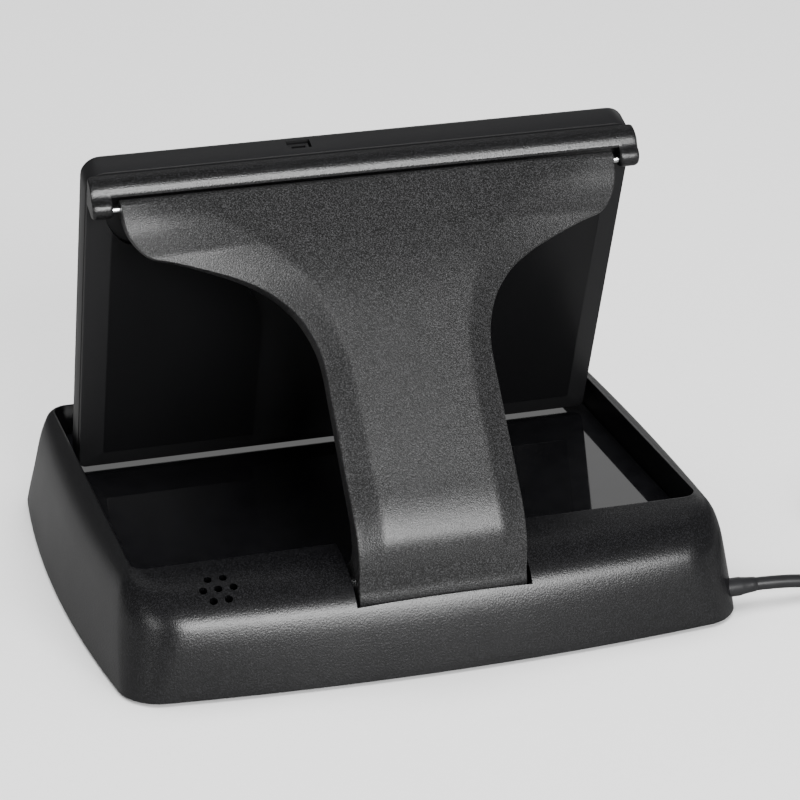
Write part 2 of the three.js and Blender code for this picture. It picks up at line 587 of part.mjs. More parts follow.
function buttonBoard() {
  return panel(-30, 30, -70.4, -66.9, 0.8, -7.9, -7.1);
}

function frontButton(i) {
  const { width, height, z, proud } = BUTTON;
  const cap = panelLoftAt(buttonX(i), [[BEZEL.frontY - proud, 0.35],
    [BEZEL.frontY - proud + 0.35, 0], [-9, 0]], width / 2, z - height / 2, z + height / 2, 0.95);
  const flange = panel(buttonX(i) - width / 2 - 0.8, buttonX(i) + width / 2 + 0.8,
    z - height / 2 - 0.6, z + height / 2 + 0.6, 0.6, BUTTON.flangeY, -8.8);
  return join(cap, flange);
}

function panelLoftAt(x, levels, halfX, z0, z1, corner) {
  const shifted = toGeometry(panelLoft(levels, halfX, z0, z1, corner));
  return toSolid(shifted.translate(x, 0, 0));
}

function catchInsert() {
  const { x0, x1, y0, y1 } = CATCH;
  const z1 = SCREEN_Z1 - 0.7;
  const body = box(x0 + GAP, x1 - GAP, y0 + GAP, y1 - GAP, z1 - 1.6, z1);
  const step = box(x0 + 1, x1 - 1, -8.9, y1, z1 - 0.6, z1 + 1);
  return cut(body, step);
}

// ---------------------------------------------------------------- cord
const CORD_RADIUS = CORD_DIAMETER / 2;
const coilOuterTurn = COIL.innerTurn + (COIL.turns - 1) * CORD_DIAMETER;
const coilY = CORD_EXIT.y - coilOuterTurn;
const LEAD_ROUTE = [
  [-65.4, 47, 4.8], [-67.5, 47, 4.8], [-70, 47, 4.75], [-73, 47, 4.6], [-76, 47, 4.35],
  [-79.5, 47, 3.9], [-83, 47, 3.35], [-87, 47, 2.6], [-91, 47, 1.95], [-95, 47, 1.55],
  [-100.4, 47, 1.4], [-106.4, 47, 1.4],
];
const tailX = COIL.x - coilOuterTurn;
const TAIL_ROUTE = [
  [tailX, 12.9, 4.2], [tailX, 10, 4.2], [tailX, 7, 4.25], [tailX, 4, 4.35], [tailX, 1, 4.45],
  [tailX, PLUG.y + GAP, PLUG.z],
];

function cordTube(route) {
  const path = new THREE.CatmullRomCurve3(route.map((point) => new THREE.Vector3(...point)));
  const circle = new THREE.Shape();
  circle.absarc(0, 0, CORD_RADIUS, 0, 2 * Math.PI);
  const steps = Math.max(4, Math.round(path.getLength() / (2 * CORD_DIAMETER)));
  return toSolid(new THREE.ExtrudeGeometry(circle, { extrudePath: path, steps, curveSegments: 4 }));
}

function cordCoil() {
  const inner = COIL.innerTurn - CORD_RADIUS;
  const outer = coilOuterTurn + CORD_RADIUS;
  const top = COIL.layers * CORD_DIAMETER;
  const soft = 0.9;
  const profile = [
    [inner, soft], [inner + soft, 0], [outer - soft, 0], [outer, soft], [outer, top - soft],
    [outer - soft, top], [inner + soft, top], [inner, top - soft], [inner, soft],
  ].map(([x, y]) => new THREE.Vector2(x, y));
  const geometry = new THREE.LatheGeometry(profile, 40);
  geometry.rotateX(Math.PI / 2);
  return toSolid(geometry.translate(COIL.x, coilY, 0));
}

function onPlugAxis(along) {
  return [tailX, PLUG.y - along, PLUG.z];
}

function plugGrip() {
  const { gripLength, reliefLength } = PLUG;
  const relief = rod(onPlugAxis(0), onPlugAxis(reliefLength), 2.1, 14, 2.9);
  const body = rod(onPlugAxis(reliefLength - 0.2), onPlugAxis(gripLength), 4.4, 18);
  return join(relief, body);
}

function plugSleeve() {
  const start = PLUG.gripLength + GAP;
  const end = PLUG.gripLength + PLUG.sleeveLength;
  const tube = rod(onPlugAxis(start), onPlugAxis(end), 3.9, 18);
  return cut(tube, rod(onPlugAxis(start + 2.7), onPlugAxis(end + 2), 3.2, 18));
}

function plugPins() {
  const start = PLUG.gripLength + 3 + GAP;
  const disc = rod(onPlugAxis(start), onPlugAxis(start + 1.7), 2.8, 18);
  const pins = [0, 1, 2, 3].map((i) => {
    const angle = (i + 0.5) * (Math.PI / 2);
    const at = (along) => {
      const [x, y, z] = onPlugAxis(along);
      return [x + 1.5 * Math.cos(angle), y, z + 1.5 * Math.sin(angle)];
    };
    return rod(at(start + 1.2), at(start + 5.2), 0.4, 8);
  });
  return join(disc, ...pins);
}

// ---------------------------------------------------------------- assembly
const monitor = new THREE.Group();

const base = new THREE.Group();
base.add(
  named('base_top_shell', baseTopShell(), FINISH.satinBlack),
  named('tray_floor', trayFloor(), FINISH.glossBlack),
  named('base_bottom_cover', bottomCover(), FINISH.satinBlack),
  named('mounting_pad', mountingPad(), FINISH.foam),
  named('main_board', mainBoard(), FINISH.board),
  named('speaker', speaker(), FINISH.foam),
  named('cord_grommet', cordGrommet(), FINISH.cordBlack),
  named('arm_hinge_pin', armPin(), FINISH.steel),
  named('pin_clip_left', pinClip(-1), FINISH.screwSteel),
  named('pin_clip_right', pinClip(1), FINISH.screwSteel),
);
SCREW_PLACES.forEach((place, i) => {
  base.add(named(`base_screw_${i + 1}`, baseScrew(place), FINISH.screwSteel));
});

const arm = new THREE.Group();
arm.position.set(0, SCREEN_PIVOT.y, SCREEN_PIVOT.z);
arm.rotation.x = ARM_LEAN;
arm.add(
  named('arm_cover', armCover(), FINISH.armGrey),
  named('arm_inner_cover', armInnerCover(), FINISH.armGrey),
  named('arm_harness', armHarness(), FINISH.ribbon),
  named('screen_pin_left', topPin(-1), FINISH.steel),
  named('screen_pin_right', topPin(1), FINISH.steel),
);
ARM_SCREWS.forEach((place, i) => {
  arm.add(named(`arm_screw_${i + 1}`, armScrew(place), FINISH.screwSteel));
});

const screen = new THREE.Group();
screen.position.set(0, SCREEN_PIVOT.y, SCREEN_PIVOT.z);
screen.rotation.x = -SCREEN_LEAN;
screen.add(
  named('front_bezel', frontBezel(), FINISH.bezelBlack),
  named('rear_housing', rearHousing(), FINISH.glossBlack),
  named('display_glass', displayGlass(), FINISH.glass),
  named('display_module', displayModule(), FINISH.tin),
  named('driver_board', driverBoard(), FINISH.board),
  named('button_board', buttonBoard(), FINISH.board),
  named('catch_insert', catchInsert(), FINISH.bezelBlack),
);
for (let i = 0; i < BUTTON.count; i += 1) {
  screen.add(named(`front_button_${i + 1}`, frontButton(i), FINISH.button));
}

const cord = new THREE.Group();
cord.add(
  named('cord_lead', cordTube(LEAD_ROUTE), FINISH.cordBlack),
  named('cord_coil', cordCoil(), FINISH.cordBlack),
  named('cord_tail', cordTube(TAIL_ROUTE), FINISH.cordBlack),
  named('plug_grip', plugGrip(), FINISH.cordBlack),
  named('plug_sleeve', plugSleeve(), FINISH.tin),
  named('plug_pins', plugPins(), FINISH.tin),
);

monitor.add(base, arm, screen, cord);

export default monitor;
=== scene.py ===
"""Folding video monitor: the looks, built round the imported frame.

A small flat screen hangs on two steel pins at the top of a wide Y-shaped arm. The arm stands in a
notch in the rear rim of a shallow tray, and the screen leans back over the tray's polished floor.
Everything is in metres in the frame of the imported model: +X along both hinges, +Y to the rear,
+Z up. Sizes below are written in millimetres and turned to metres by MM.
"""

from __future__ import annotations

import json
import logging
import math
from dataclasses import dataclass
from enum import Enum

import bmesh
import bpy
from mathutils import Matrix, Vector


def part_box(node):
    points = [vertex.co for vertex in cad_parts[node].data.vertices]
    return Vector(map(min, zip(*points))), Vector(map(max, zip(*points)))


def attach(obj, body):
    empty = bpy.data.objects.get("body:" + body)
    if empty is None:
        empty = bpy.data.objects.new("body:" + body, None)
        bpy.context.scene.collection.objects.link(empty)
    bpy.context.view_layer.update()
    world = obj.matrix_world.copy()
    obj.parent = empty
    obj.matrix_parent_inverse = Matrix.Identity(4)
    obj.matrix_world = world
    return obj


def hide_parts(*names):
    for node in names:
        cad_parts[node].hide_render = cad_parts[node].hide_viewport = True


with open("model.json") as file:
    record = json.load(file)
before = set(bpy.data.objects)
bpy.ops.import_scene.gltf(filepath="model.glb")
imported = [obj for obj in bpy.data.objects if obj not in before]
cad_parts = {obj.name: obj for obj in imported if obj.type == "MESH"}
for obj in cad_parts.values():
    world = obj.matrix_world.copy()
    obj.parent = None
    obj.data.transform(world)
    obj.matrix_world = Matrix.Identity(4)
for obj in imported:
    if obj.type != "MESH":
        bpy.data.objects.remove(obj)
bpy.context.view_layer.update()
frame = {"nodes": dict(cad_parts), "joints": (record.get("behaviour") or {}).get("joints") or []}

MM = 0.001
GAP = 0.3
CORD_Y = 47.0
CORD_Z = 4.8
LOG = logging.getLogger("monitor")

Point = tuple[float, float, float]
Pair = tuple[float, float]
Piece = bpy.types.Object
Material = bpy.types.Material
Tree = bpy.types.NodeTree
Node = bpy.types.Node
Socket = bpy.types.NodeSocket


# ---- places taken from the frame
def joint_place(name: str) -> Vector:
    """The point that a joint turns about, in millimetres."""
    found = next(j for j in frame["joints"] if j["name"] == name)
    return Vector(found["pos_m"]) / MM


ARM_PIVOT = joint_place("arm_hinge")
SCREEN_PIVOT = joint_place("screen_hinge")
ARM_LEAN = math.radians(38.5)
SCREEN_LEAN = math.radians(20.2)


def node_box(name: str) -> tuple[Vector, Vector]:
    """A node's lowest and highest corner, in millimetres."""
    low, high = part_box(name)
    return low / MM, high / MM


# ---- mesh helpers
class Operation(Enum):
    """How a tool changes the piece that it is combined with."""

    CUT = "DIFFERENCE"
    JOIN = "UNION"


def put(name: str, data: bpy.types.ID) -> Piece:
    """Makes an object from its data and puts it in the scene."""
    made = bpy.data.objects.new(name, data)
    bpy.context.scene.collection.objects.link(made)
    return made


def mesh_piece(name: str, points: list[Point], faces: list[tuple[int, ...]]) -> Piece:
    """Makes an object at the origin from points in millimetres.

    Args:
        name: the piece's name.
        points: its vertices in millimetres, in the row frame.
        faces: vertex indices of each face.

    Returns:
        The new object, with its normals pointing outwards.
    """
    mesh = bpy.data.meshes.new(name)
    mesh.from_pydata([Vector(p) * MM for p in points], [], faces)
    shape = bmesh.new()
    shape.from_mesh(mesh)
    bmesh.ops.remove_doubles(shape, verts=shape.verts, dist=1e-7)
    bmesh.ops.recalc_face_normals(shape, faces=shape.faces)
    shape.to_mesh(mesh)
    shape.free()
    return put(name, mesh)


def loft(name: str, rings: list[list[Point]]) -> Piece:
    """A closed skin through rings with equal numbers of points, capped at both ends."""
    count = len(rings[0])
    faces: list[tuple[int, ...]] = []
    for row in range(len(rings) - 1):
        for i in range(count):
            a, b = row * count + i, row * count + (i + 1) % count
            faces.append((a, b, b + count, a + count))
    faces.append(tuple(reversed(range(count))))
    faces.append(tuple(range((len(rings) - 1) * count, len(rings) * count)))
    return mesh_piece(name, [p for ring in rings for p in ring], faces)


def side_profile(name: str, profile: list[Pair], x0: float, x1: float,
                 rounding: float = 0.0) -> Piece:
    """A (y, z) profile extruded along X, with its ends drawn in by a rounding.

    Args:
        name: the piece's name.
        profile: the outline, in millimetres.
        x0: the low end.
        x1: the high end.
        rounding: the radius of the edges at both ends.

    Returns:
        The new piece.
    """
    centre_y = sum(y for y, _ in profile) / len(profile)
    centre_z = sum(z for _, z in profile) / len(profile)
    reach = max(math.hypot(y - centre_y, z - centre_z) for y, z in profile)
    steps = [(x0, 0.0), (x1, 0.0)]
    if rounding:
        turn = [math.radians(90 * i / 4) for i in range(5)]
        low = [(x0 + rounding * (1 - math.sin(a)), rounding * (1 - math.cos(a))) for a in turn]
        high = [(x1 + x0 - x, inset) for x, inset in low]
        steps = sorted(low) + sorted(high)
    rings = []
    for x, inset in steps:
        keep = 1 - inset / reach
        rings.append([(x, centre_y + (y - centre_y) * keep, centre_z + (z - centre_z) * keep)
                      for y, z in profile])
    return loft(name, rings)


def circle(radius: float, sides: int) -> list[Pair]:
    """Points round a circle."""
    return [(radius * math.cos(a), radius * math.sin(a))
            for a in (2 * math.pi * i / sides for i in range(sides))]


def rod(name: str, start: Point, end: Point, radius: float, sides: int = 32) -> Piece:
    """A round bar between two points, in millimetres."""
    begin, along = Vector(start), Vector(end) - Vector(start)
    turn = Vector((0, 0, 1)).rotation_difference(along.normalized()).to_matrix()
    return loft(name, [[tuple(centre + turn @ Vector((*place, 0))) for place in circle(radius, sides)]
                       for centre in (begin, begin + along)])


def flatten(piece: Piece) -> None:
    """Turns a piece's modifiers into plain mesh."""
    graph = bpy.context.evaluated_depsgraph_get()
    graph.update()
    made = bpy.data.meshes.new_from_object(piece.evaluated_get(graph))
    piece.modifiers.clear()
    piece.data = made


def combine(piece: Piece, tool: Piece, operation: Operation) -> None:
    """Cuts a tool out of a piece or joins it on, and throws the tool away."""
    step = piece.modifiers.new("combine", "BOOLEAN")
    step.solver = "EXACT"
    step.operation = operation.value
    step.object = tool
    flatten(piece)
    bpy.data.objects.remove(tool)


def cut(piece: Piece, *tools: Piece) -> None:
    """Cuts tools out of a piece in order."""
    for tool in tools:
        combine(piece, tool, Operation.CUT)


def soften(piece: Piece, angle: float) -> None:
    """Smooth shading with sharp edges where faces meet at more than an angle."""
    shape = bmesh.new()
    shape.from_mesh(piece.data)
    bmesh.ops.remove_doubles(shape, verts=shape.verts, dist=2e-6)
    bmesh.ops.dissolve_degenerate(shape, dist=1e-6, edges=shape.edges)
    for face in shape.faces:
        face.smooth = True
    for edge in shape.edges:
        edge.smooth = edge.calc_face_angle(0.0) < math.radians(angle)
    shape.to_mesh(piece.data)
    shape.free()


def rounded_outline(x0: float, x1: float, y0: float, y1: float, radius: float,
                    corner_steps: int = 10, edge_steps: int = 1) -> list[Pair]:
    """A rounded rectangle, counter-clockwise from its +X side, with edges divided evenly."""
    corners = [(x1 - radius, y1 - radius, 0), (x0 + radius, y1 - radius, 90),
               (x0 + radius, y0 + radius, 180), (x1 - radius, y0 + radius, 270)]
    points: list[Pair] = []
    for number, (cx, cy, start) in enumerate(corners):
        for step in range(corner_steps + 1):
            angle = math.radians(start + 90 * step / corner_steps)
            points.append((cx + radius * math.cos(angle), cy + radius * math.sin(angle)))
        next_x, next_y, next_start = corners[(number + 1) % 4]
        turn = math.radians(next_start)
        end = (next_x + radius * math.cos(turn), next_y + radius * math.sin(turn))
        begin = points[-1]
        for step in range(1, edge_steps):
            t = step / edge_steps
            points.append((begin[0] + (end[0] - begin[0]) * t, begin[1] + (end[1] - begin[1]) * t))
    return points


def smooth_rows(rows: list[tuple[float, ...]], steps: int) -> list[tuple[float, ...]]:
    """Catmull-Rom rows between the given ones, each value on its own."""
    made = []
    last = len(rows) - 1
    for i in range(last):
        before, start, end, after = rows[max(i - 1, 0)], rows[i], rows[i + 1], rows[min(i + 2, last)]
        for step in range(steps):
            t = step / steps
            made.append(tuple(0.5 * (2 * b + (c - a) * t + (2 * a - 5 * b + 4 * c - d) * t * t
                                     + (3 * b - a - 3 * c + d) * t ** 3)
                              for a, b, c, d in zip(before, start, end, after)))
    return [*made, rows[last]]


# ---- material helpers
def linear(hex_colour: str) -> tuple[float, float, float, float]:
    """An sRGB hex colour as linear red, green, blue and alpha."""
    values = [int(hex_colour[i:i + 2], 16) / 255 for i in (1, 3, 5)]
    red, green, blue = (v / 12.92 if v <= 0.04045 else ((v + 0.055) / 1.055) ** 2.4 for v in values)
    return red, green, blue, 1.0


def set_up(tree: Tree, node: Node, values: dict) -> Node:
    """Sets a node's properties and inputs, with a link wherever the value is a socket."""
    for key, value in values.items():
        if isinstance(value, Socket):
            tree.links.new(value, node.inputs[key])
        elif isinstance(key, str) and hasattr(node, key):
            setattr(node, key, value)
        else:
            node.inputs[key].default_value = value
    return node


def add_node(tree: Tree, kind: str, values: dict | None = None) -> Node:
    """Adds a node.

    Args:
        tree: the node tree.
        kind: the node's type.
        values: property names, or input names or numbers, to values or to sockets that feed them.

    Returns:
        The new node.
    """
    return set_up(tree, tree.nodes.new(kind), values or {})


def per_mm(size: float) -> float:
    """The pattern scale whose features are this many millimetres across."""
    return 1.0 / (size * MM)


class Surface:
    """A material being built up on object coordinates."""

    def __init__(self, name: str) -> None:
        """Makes the material with its shader and its output."""
        self.material = bpy.data.materials.new(name)
        self.material.use_nodes = True
        self.tree = self.material.node_tree
        self.tree.nodes.clear()
        self.shader = add_node(self.tree, "ShaderNodeBsdfPrincipled")
        self.add("OutputMaterial", {"Surface": self.shader.outputs["BSDF"]})
        self.place = self.add("TexCoord")["Object"]

    def add(self, kind: str, values: dict | None = None) -> bpy.types.NodeOutputs:
        """Adds a shader node, named without its prefix, and gives its outputs."""
        return add_node(self.tree, "ShaderNode" + kind, values).outputs

    def noise(self, size: float, detail: float, **more: float | Socket) -> Socket:
        """Noise with features of a size in millimetres."""
        return self.add("TexNoise", {"Scale": per_mm(size), "Detail": detail,
                                     "Vector": self.place, **more})["Fac"]

    def maths(self, operation: str, *values: float | Socket) -> Socket:
        """One operation on numbers and sockets."""
        return self.add("Math", {"operation": operation, **dict(enumerate(values))})["Value"]

    def blend(self, low: str, high: str, share: Socket) -> Socket:
        """A colour between two sRGB hex colours."""
        return self.add("Mix", {"data_type": "RGBA", 0: share, 6: linear(low),
                                7: linear(high)})[2]

    def remap(self, value: Socket, low: float, high: float, start: float = 0.0,
              end: float = 1.0) -> Socket:
        """A value that runs from start to end, moved to run from low to high."""
        return self.add("MapRange", {"Value": value, "From Min": start, "From Max": end,
                                     "To Min": low, "To Max": high})["Result"]

    def relief(self, height: Socket, depth: float, strength: float = 1.0) -> Socket:
        """The normal of a relief with a depth in millimetres."""
        return self.add("Bump", {"Strength": strength, "Distance": depth * MM,
                                 "Height": height})["Normal"]

    def screen_plane(self) -> bpy.types.NodeOutputs:
        """X, Y and Z in the leaning screen's own frame."""
        local = self.add("Mapping", {"vector_type": "TEXTURE", "Location": SCREEN_PIVOT * MM,
                                     "Rotation": (-SCREEN_LEAN, 0, 0), "Vector": self.place})
        return self.add("SeparateXYZ", {0: local["Vector"]})

    def finish(self, colour: Socket | tuple[float, ...], roughness: Socket | float,
               normal: Socket | None = None, **fixed: float) -> Material:
        """Feeds the shader.

        Args:
            colour: the base colour.
            roughness: the roughness.
            normal: the relief, if there is one.
            fixed: other inputs that are the same all over.

        Returns:
            The finished material.
        """
        relief = {} if normal is None else {"Normal": normal}
        set_up(self.tree, self.shader, {"Base Color": colour, "Roughness": roughness, **relief, **fixed})
        return self.material


@dataclass(frozen=True)
class MouldedPlastic:
    """ABS moulded in a spark-eroded tool: the grain breaks highlights into fine bright specks."""

    name: str
    tone: str
    speck_tone: str
    roughness: float
    grain: float
    depth: float
    specks: float

    def build(self) -> Material:
        """Makes the material from its sizes in millimetres."""
        made = Surface(self.name)
        fine = made.noise(self.grain, 2.0, Roughness=0.6)
        peaks = made.remap(fine, 0.0, self.specks, 0.45, 0.75)
        rough = made.remap(made.noise(18.0, 3.0), self.roughness - 0.04, self.roughness + 0.05)
        return made.finish(made.blend(self.tone, self.speck_tone, peaks), rough,
                           made.relief(fine, self.depth), IOR=1.53)


@dataclass(frozen=True)
class PolishedPlastic:
    """ABS from a mirror-polished tool: clear reflections, slightly uneven where it cooled."""

    name: str
    tone: str
    roughness: float
    ripple: float = 0.004
    haze: float = 0.03

    def build(self) -> Material:
        """Makes the material; the ripple is 14 mm across and a few micrometres deep."""
        made = Surface(self.name)
        rub = made.noise(3.5, 5.0)
        rough = made.remap(rub, self.roughness, self.roughness + self.haze, 0.4, 0.75)
        return made.finish(made.blend(self.tone, "#141416", rub), rough,
                           made.relief(made.noise(14.0, 1.0), self.ripple, 0.3), IOR=1.5)


@dataclass(frozen=True)
class RearPlastic:
    """Black ABS from a tool that is polished on the raised plateau and satin on its borders."""

    name: str
    plateau: float

    def build(self) -> Material:
        """Makes the material; the plateau is found in the leaning screen's own frame."""
        made = Surface(self.name)
        raised = made.maths("GREATER_THAN", made.screen_plane()["Y"], self.plateau * MM)
        border = made.maths("SUBTRACT", 1.0, raised)
        height = made.maths("MULTIPLY", made.noise(0.3, 2.0), border)
        return made.finish(made.blend("#171718", "#0e0e0f", raised), made.remap(raised, 0.42, 0.3),
                           made.relief(height, 0.015), **{"Specular IOR Level": 0.3})


@dataclass(frozen=True)
class WorkedMetal:
    """Steel or tinplate with fine turning or rolling marks along X."""

    name: str
    tone: str
    roughness: float
    lines: float

    def build(self) -> Material:
        """Makes the material; the marks are stretched along X."""
        made = Surface(self.name)
        stretched = made.add("Mapping", {"Scale": (0.06, 1.0, 1.0), "Vector": made.place})
        marks = made.noise(self.lines, 3.0, Vector=stretched["Vector"])
        rough = made.remap(marks, self.roughness - 0.06, self.roughness + 0.1)
        return made.finish(linear(self.tone), rough, made.relief(marks, 0.01, 0.4), Metallic=1.0)


@dataclass(frozen=True)
class CircuitBoard:
    """Glass-fibre board under solder mask: green lacquer over a fine pattern of tracks."""

    name: str

    def build(self) -> Material:
        """Makes the material; tracks are about 1.2 mm apart."""
        made = Surface(self.name)
        tracks = made.add("TexVoronoi", {"distance": "MANHATTAN", "Scale": per_mm(3.0),
                                         "Vector": made.place})
        band = made.maths("PINGPONG", tracks["Distance"], 0.12)
        level = made.remap(band, 0.0, 1.0, 0.05, 0.07)
        return made.finish(made.blend("#0f4426", "#1b5f36", level), 0.35,
                           made.relief(level, 0.03, 0.6))


@dataclass(frozen=True)
class DisplayGlass:
    """Polarised display cover: near-black, with a faint blue-grey active area inside its border."""

    name: str
    half_width: float
    low: float
    high: float

    def build(self) -> Material:
        """Makes the material, with the active area measured in the leaning screen's own frame."""
        made = Surface(self.name)
        plane = made.screen_plane()
        across = made.maths("ABSOLUTE", plane["X"])
        in_x = made.maths("LESS_THAN", across, self.half_width * MM)
        middle = made.maths("SUBTRACT", plane["Z"], (self.low + self.high) / 2 * MM)
        in_z = made.maths("LESS_THAN", made.maths("ABSOLUTE", middle),
                          (self.high - self.low) / 2 * MM)
        inside = made.maths("MULTIPLY", in_x, in_z)
        return made.finish(made.blend("#050506", "#12151a", inside),
                           made.remap(inside, 0.06, 0.16), IOR=1.5)


@dataclass(frozen=True)
class CableJacket:
    """Soft PVC cable jacket: smooth and slightly waxy, with faint drawing lines and handling haze."""

    name: str

    def build(self) -> Material:
        """Makes the material; the haze is about 6 mm across."""
        made = Surface(self.name)
        haze = made.noise(6.0, 4.0)
        return made.finish(made.blend("#121213", "#1f1f21", haze), made.remap(haze, 0.3, 0.48),
                           made.relief(made.noise(0.4, 2.0), 0.02, 0.4))


@dataclass(frozen=True)
class CellRubber:
    """Closed-cell foam rubber: matt, with pores about 0.5 mm across."""

    name: str

    def build(self) -> Material:
        """Makes the material from a cell pattern."""
        made = Surface(self.name)
        cells = made.add("TexVoronoi", {"Scale": per_mm(0.5),
                                        "Vector": made.place})["Distance"]
        return made.finish(made.blend("#0f0f10", "#26262a", cells), 0.92,
                           made.relief(cells, 0.15, 0.7))


@dataclass(frozen=True)
class RibbonCable:
    """Flat flexible cable: pale polyester with conductors 1 mm apart showing through."""

    name: str

    def build(self) -> Material:
        """Makes the material; the conductors run down the arm."""
        made = Surface(self.name)
        stripes = made.add("TexWave", {"bands_direction": "X", "Vector": made.place,
                                       "Scale": per_mm(1.0) / (2 * math.pi) * 0.3})
        return made.finish(made.blend("#b9a98c", "#e6e2d8", stripes["Fac"]), 0.4)


@dataclass(frozen=True)
class StudioFloor:
    """Matt pale paper sweep with a barely visible tooth, painted mid grey in what the object mirrors: a
    painted dimmer reflection on the plastics.
    """

    name: str

    def build(self) -> Material:
        """Makes the material."""
        made = Surface(self.name)
        colour = made.blend("#f2f2f2", "#f6f6f6", made.noise(2.0, 3.0))
        # painted reflection: glossy rays see this floor as mid grey #7c7c7c instead of pale, which
        # darkens what the plastics mirror
        mirrored = made.add("LightPath")["Is Glossy Ray"]
        painted_dim_reflection = made.add("Mix", {"data_type": "RGBA", 0: mirrored, 6: colour,
                                   7: linear("#7c7c7c")})
        return made.finish(painted_dim_reflection[2], 0.9)


class Finishes:
    """Every finish of the monitor, built once."""

    def __init__(self) -> None:
        """Builds the materials."""
        self.shell = MouldedPlastic("satin_grained_abs", "#070708", "#1d1d1f", 0.3, 0.34, 0.05,
                                    0.9).build()
        self.arm = MouldedPlastic("coarse_grained_abs", "#101010", "#3d3d3e", 0.34, 0.26, 0.06,
                                  1.0).build()
        self.rail = MouldedPlastic("coarse_grained_rail_abs", "#090909", "#242426", 0.3, 0.34,
                                   0.06, 0.9).build()
        self.bezel = MouldedPlastic("fine_grained_abs", "#111112", "#19191a", 0.4, 0.25, 0.012,
                                    0.4).build()
        self.key = MouldedPlastic("satin_key_abs", "#1c1c1e", "#28282a", 0.45, 0.3, 0.015,
                                  0.4).build()
        self.floor_panel = PolishedPlastic("mirror_polished_abs", "#060607", 0.04).build()
        self.back_panel = RearPlastic("gloss_moulded_abs", -2.68).build()
        self.steel = WorkedMetal("ground_stainless_steel", "#d4d5d6", 0.2, 0.15).build()
        self.screw = WorkedMetal("black_zinc_plated_steel", "#4c4d50", 0.35, 0.2).build()
        self.tin = WorkedMetal("nickel_plated_tinplate", "#a9acaf", 0.32, 0.3).build()
        self.board = CircuitBoard("solder_masked_board").build()
        self.glass = DisplayGlass("polarised_display_cover", 47.5, -57.2, -3.6).build()
        self.cable = CableJacket("soft_pvc_jacket").build()
        self.foam = CellRubber("closed_cell_foam").build()
        self.ribbon = RibbonCable("flat_flexible_cable").build()


def dress(piece: Piece, material: Material) -> None:
    """Gives a piece one material."""
    piece.data.materials.clear()
    piece.data.materials.append(material)


def dress_nodes(material: Material, *names: str) -> None:
    """Gives carried-over nodes their finish."""
    for name in names:
        node = frame["nodes"][name]
        if not node.data.materials:
            node.data.materials.append(None)
        for slot in node.material_slots:
            slot.material = material


def settle(piece: Piece, body: str, slot: str, *replaced: str) -> None:
    """Attaches a finished piece to its body and hides the nodes it replaces."""
    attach(piece, body)
    if replaced:
        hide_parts(*replaced)
    LOG.info("%s rides on %s with %d faces", piece.name, body, len(piece.data.polygons))


def complete(piece: Piece, material: Material, angle: float, body: str,
             slot: str, *replaced: str) -> None:
    """Shades, dresses and settles a piece."""
    soften(piece, angle)
    dress(piece, material)
    settle(piece, body, slot, *replaced)


# ---- repeated pieces by geometry nodes
class ShapeTree:
    """A geometry node tree with named inputs, being built up."""

    def __init__(self, name: str, inputs: dict[str, float]) -> None:
        """Makes the tree with a Geometry input and output.

        Args:
            name: the tree's name.
            inputs: input names to their default numbers.
        """
        self.tree = bpy.data.node_groups.new(name, "GeometryNodeTree")
        faces = self.tree.interface
        faces.new_socket("Geometry", in_out="INPUT", socket_type="NodeSocketGeometry")
        for label, value in inputs.items():
            socket = faces.new_socket(label, in_out="INPUT", socket_type="NodeSocketFloat")
            socket.default_value = value
        faces.new_socket("Geometry", in_out="OUTPUT", socket_type="NodeSocketGeometry")
        self.given = add_node(self.tree, "NodeGroupInput").outputs

    def add(self, kind: str, values: dict | None = None) -> Socket:
        """Adds a geometry node, named without its prefix, and gives its first output."""
        return add_node(self.tree, "GeometryNode" + kind, values).outputs[0]

    def times(self, size: str, factor: float) -> Socket:
        """A named input times a number."""
        return add_node(self.tree, "ShaderNodeMath", {"operation": "MULTIPLY", 0: self.given[size],
                                                      1: factor}).outputs[0]

    def vector(self, **parts: Socket) -> Socket:
        """A vector from its parts."""
        return add_node(self.tree, "ShaderNodeCombineXYZ", parts).outputs[0]

    def cylinder(self, sides: int, radius: str, depth: str) -> Socket:
        """A round bar with its radius and depth from named inputs."""
        return self.add("MeshCylinder", {"Vertices": sides, "Radius": self.given[radius],
                                         "Depth": self.given[depth]})

    def gather(self, kind: str, parts: tuple[Socket, ...], number: int,
               values: dict | None = None) -> Socket:
        """Adds a node and feeds several parts to one of its inputs."""
        node = add_node(self.tree, "GeometryNode" + kind, values)
        for part in parts:
            self.tree.links.new(part, node.inputs[number])
        return node.outputs[0]

    def scatter(self, copy: Socket, material: Material) -> Tree:
        """Ends the tree with a copy at every point, made real and given its material."""
        copies = self.add("InstanceOnPoints", {"Points": self.given["Geometry"], "Instance": copy})
        real = self.add("RealizeInstances", {0: copies})
        dressed = self.add("SetMaterial", {"Material": material, "Geometry": real})
        add_node(self.tree, "NodeGroupOutput", {0: dressed})
        return self.tree


def run_group(name: str, places: list[Point], tree: Tree,
              values: dict[str, float]) -> Piece:
    """Runs a node tree on a set of points and keeps its result as a plain mesh.

    Args:
        name: the piece's name.
        places: where the copies go, in millimetres.
        tree: the geometry node tree.
        values: input names to values, set by socket identifier.

    Returns:
        The finished piece, with no modifier left.
    """
    mesh = bpy.data.meshes.new(name)
    mesh.from_pydata([Vector(p) * MM for p in places], [], [])
    piece = put(name, mesh)
    step = piece.modifiers.new("build", "NODES")
    step.node_group = tree
    identifiers = {item.name: item.identifier for item in tree.interface.items_tree
                   if item.in_out == "INPUT"}
    for label, value in values.items():
        step[identifiers[label]] = value
    flatten(piece)
    return piece


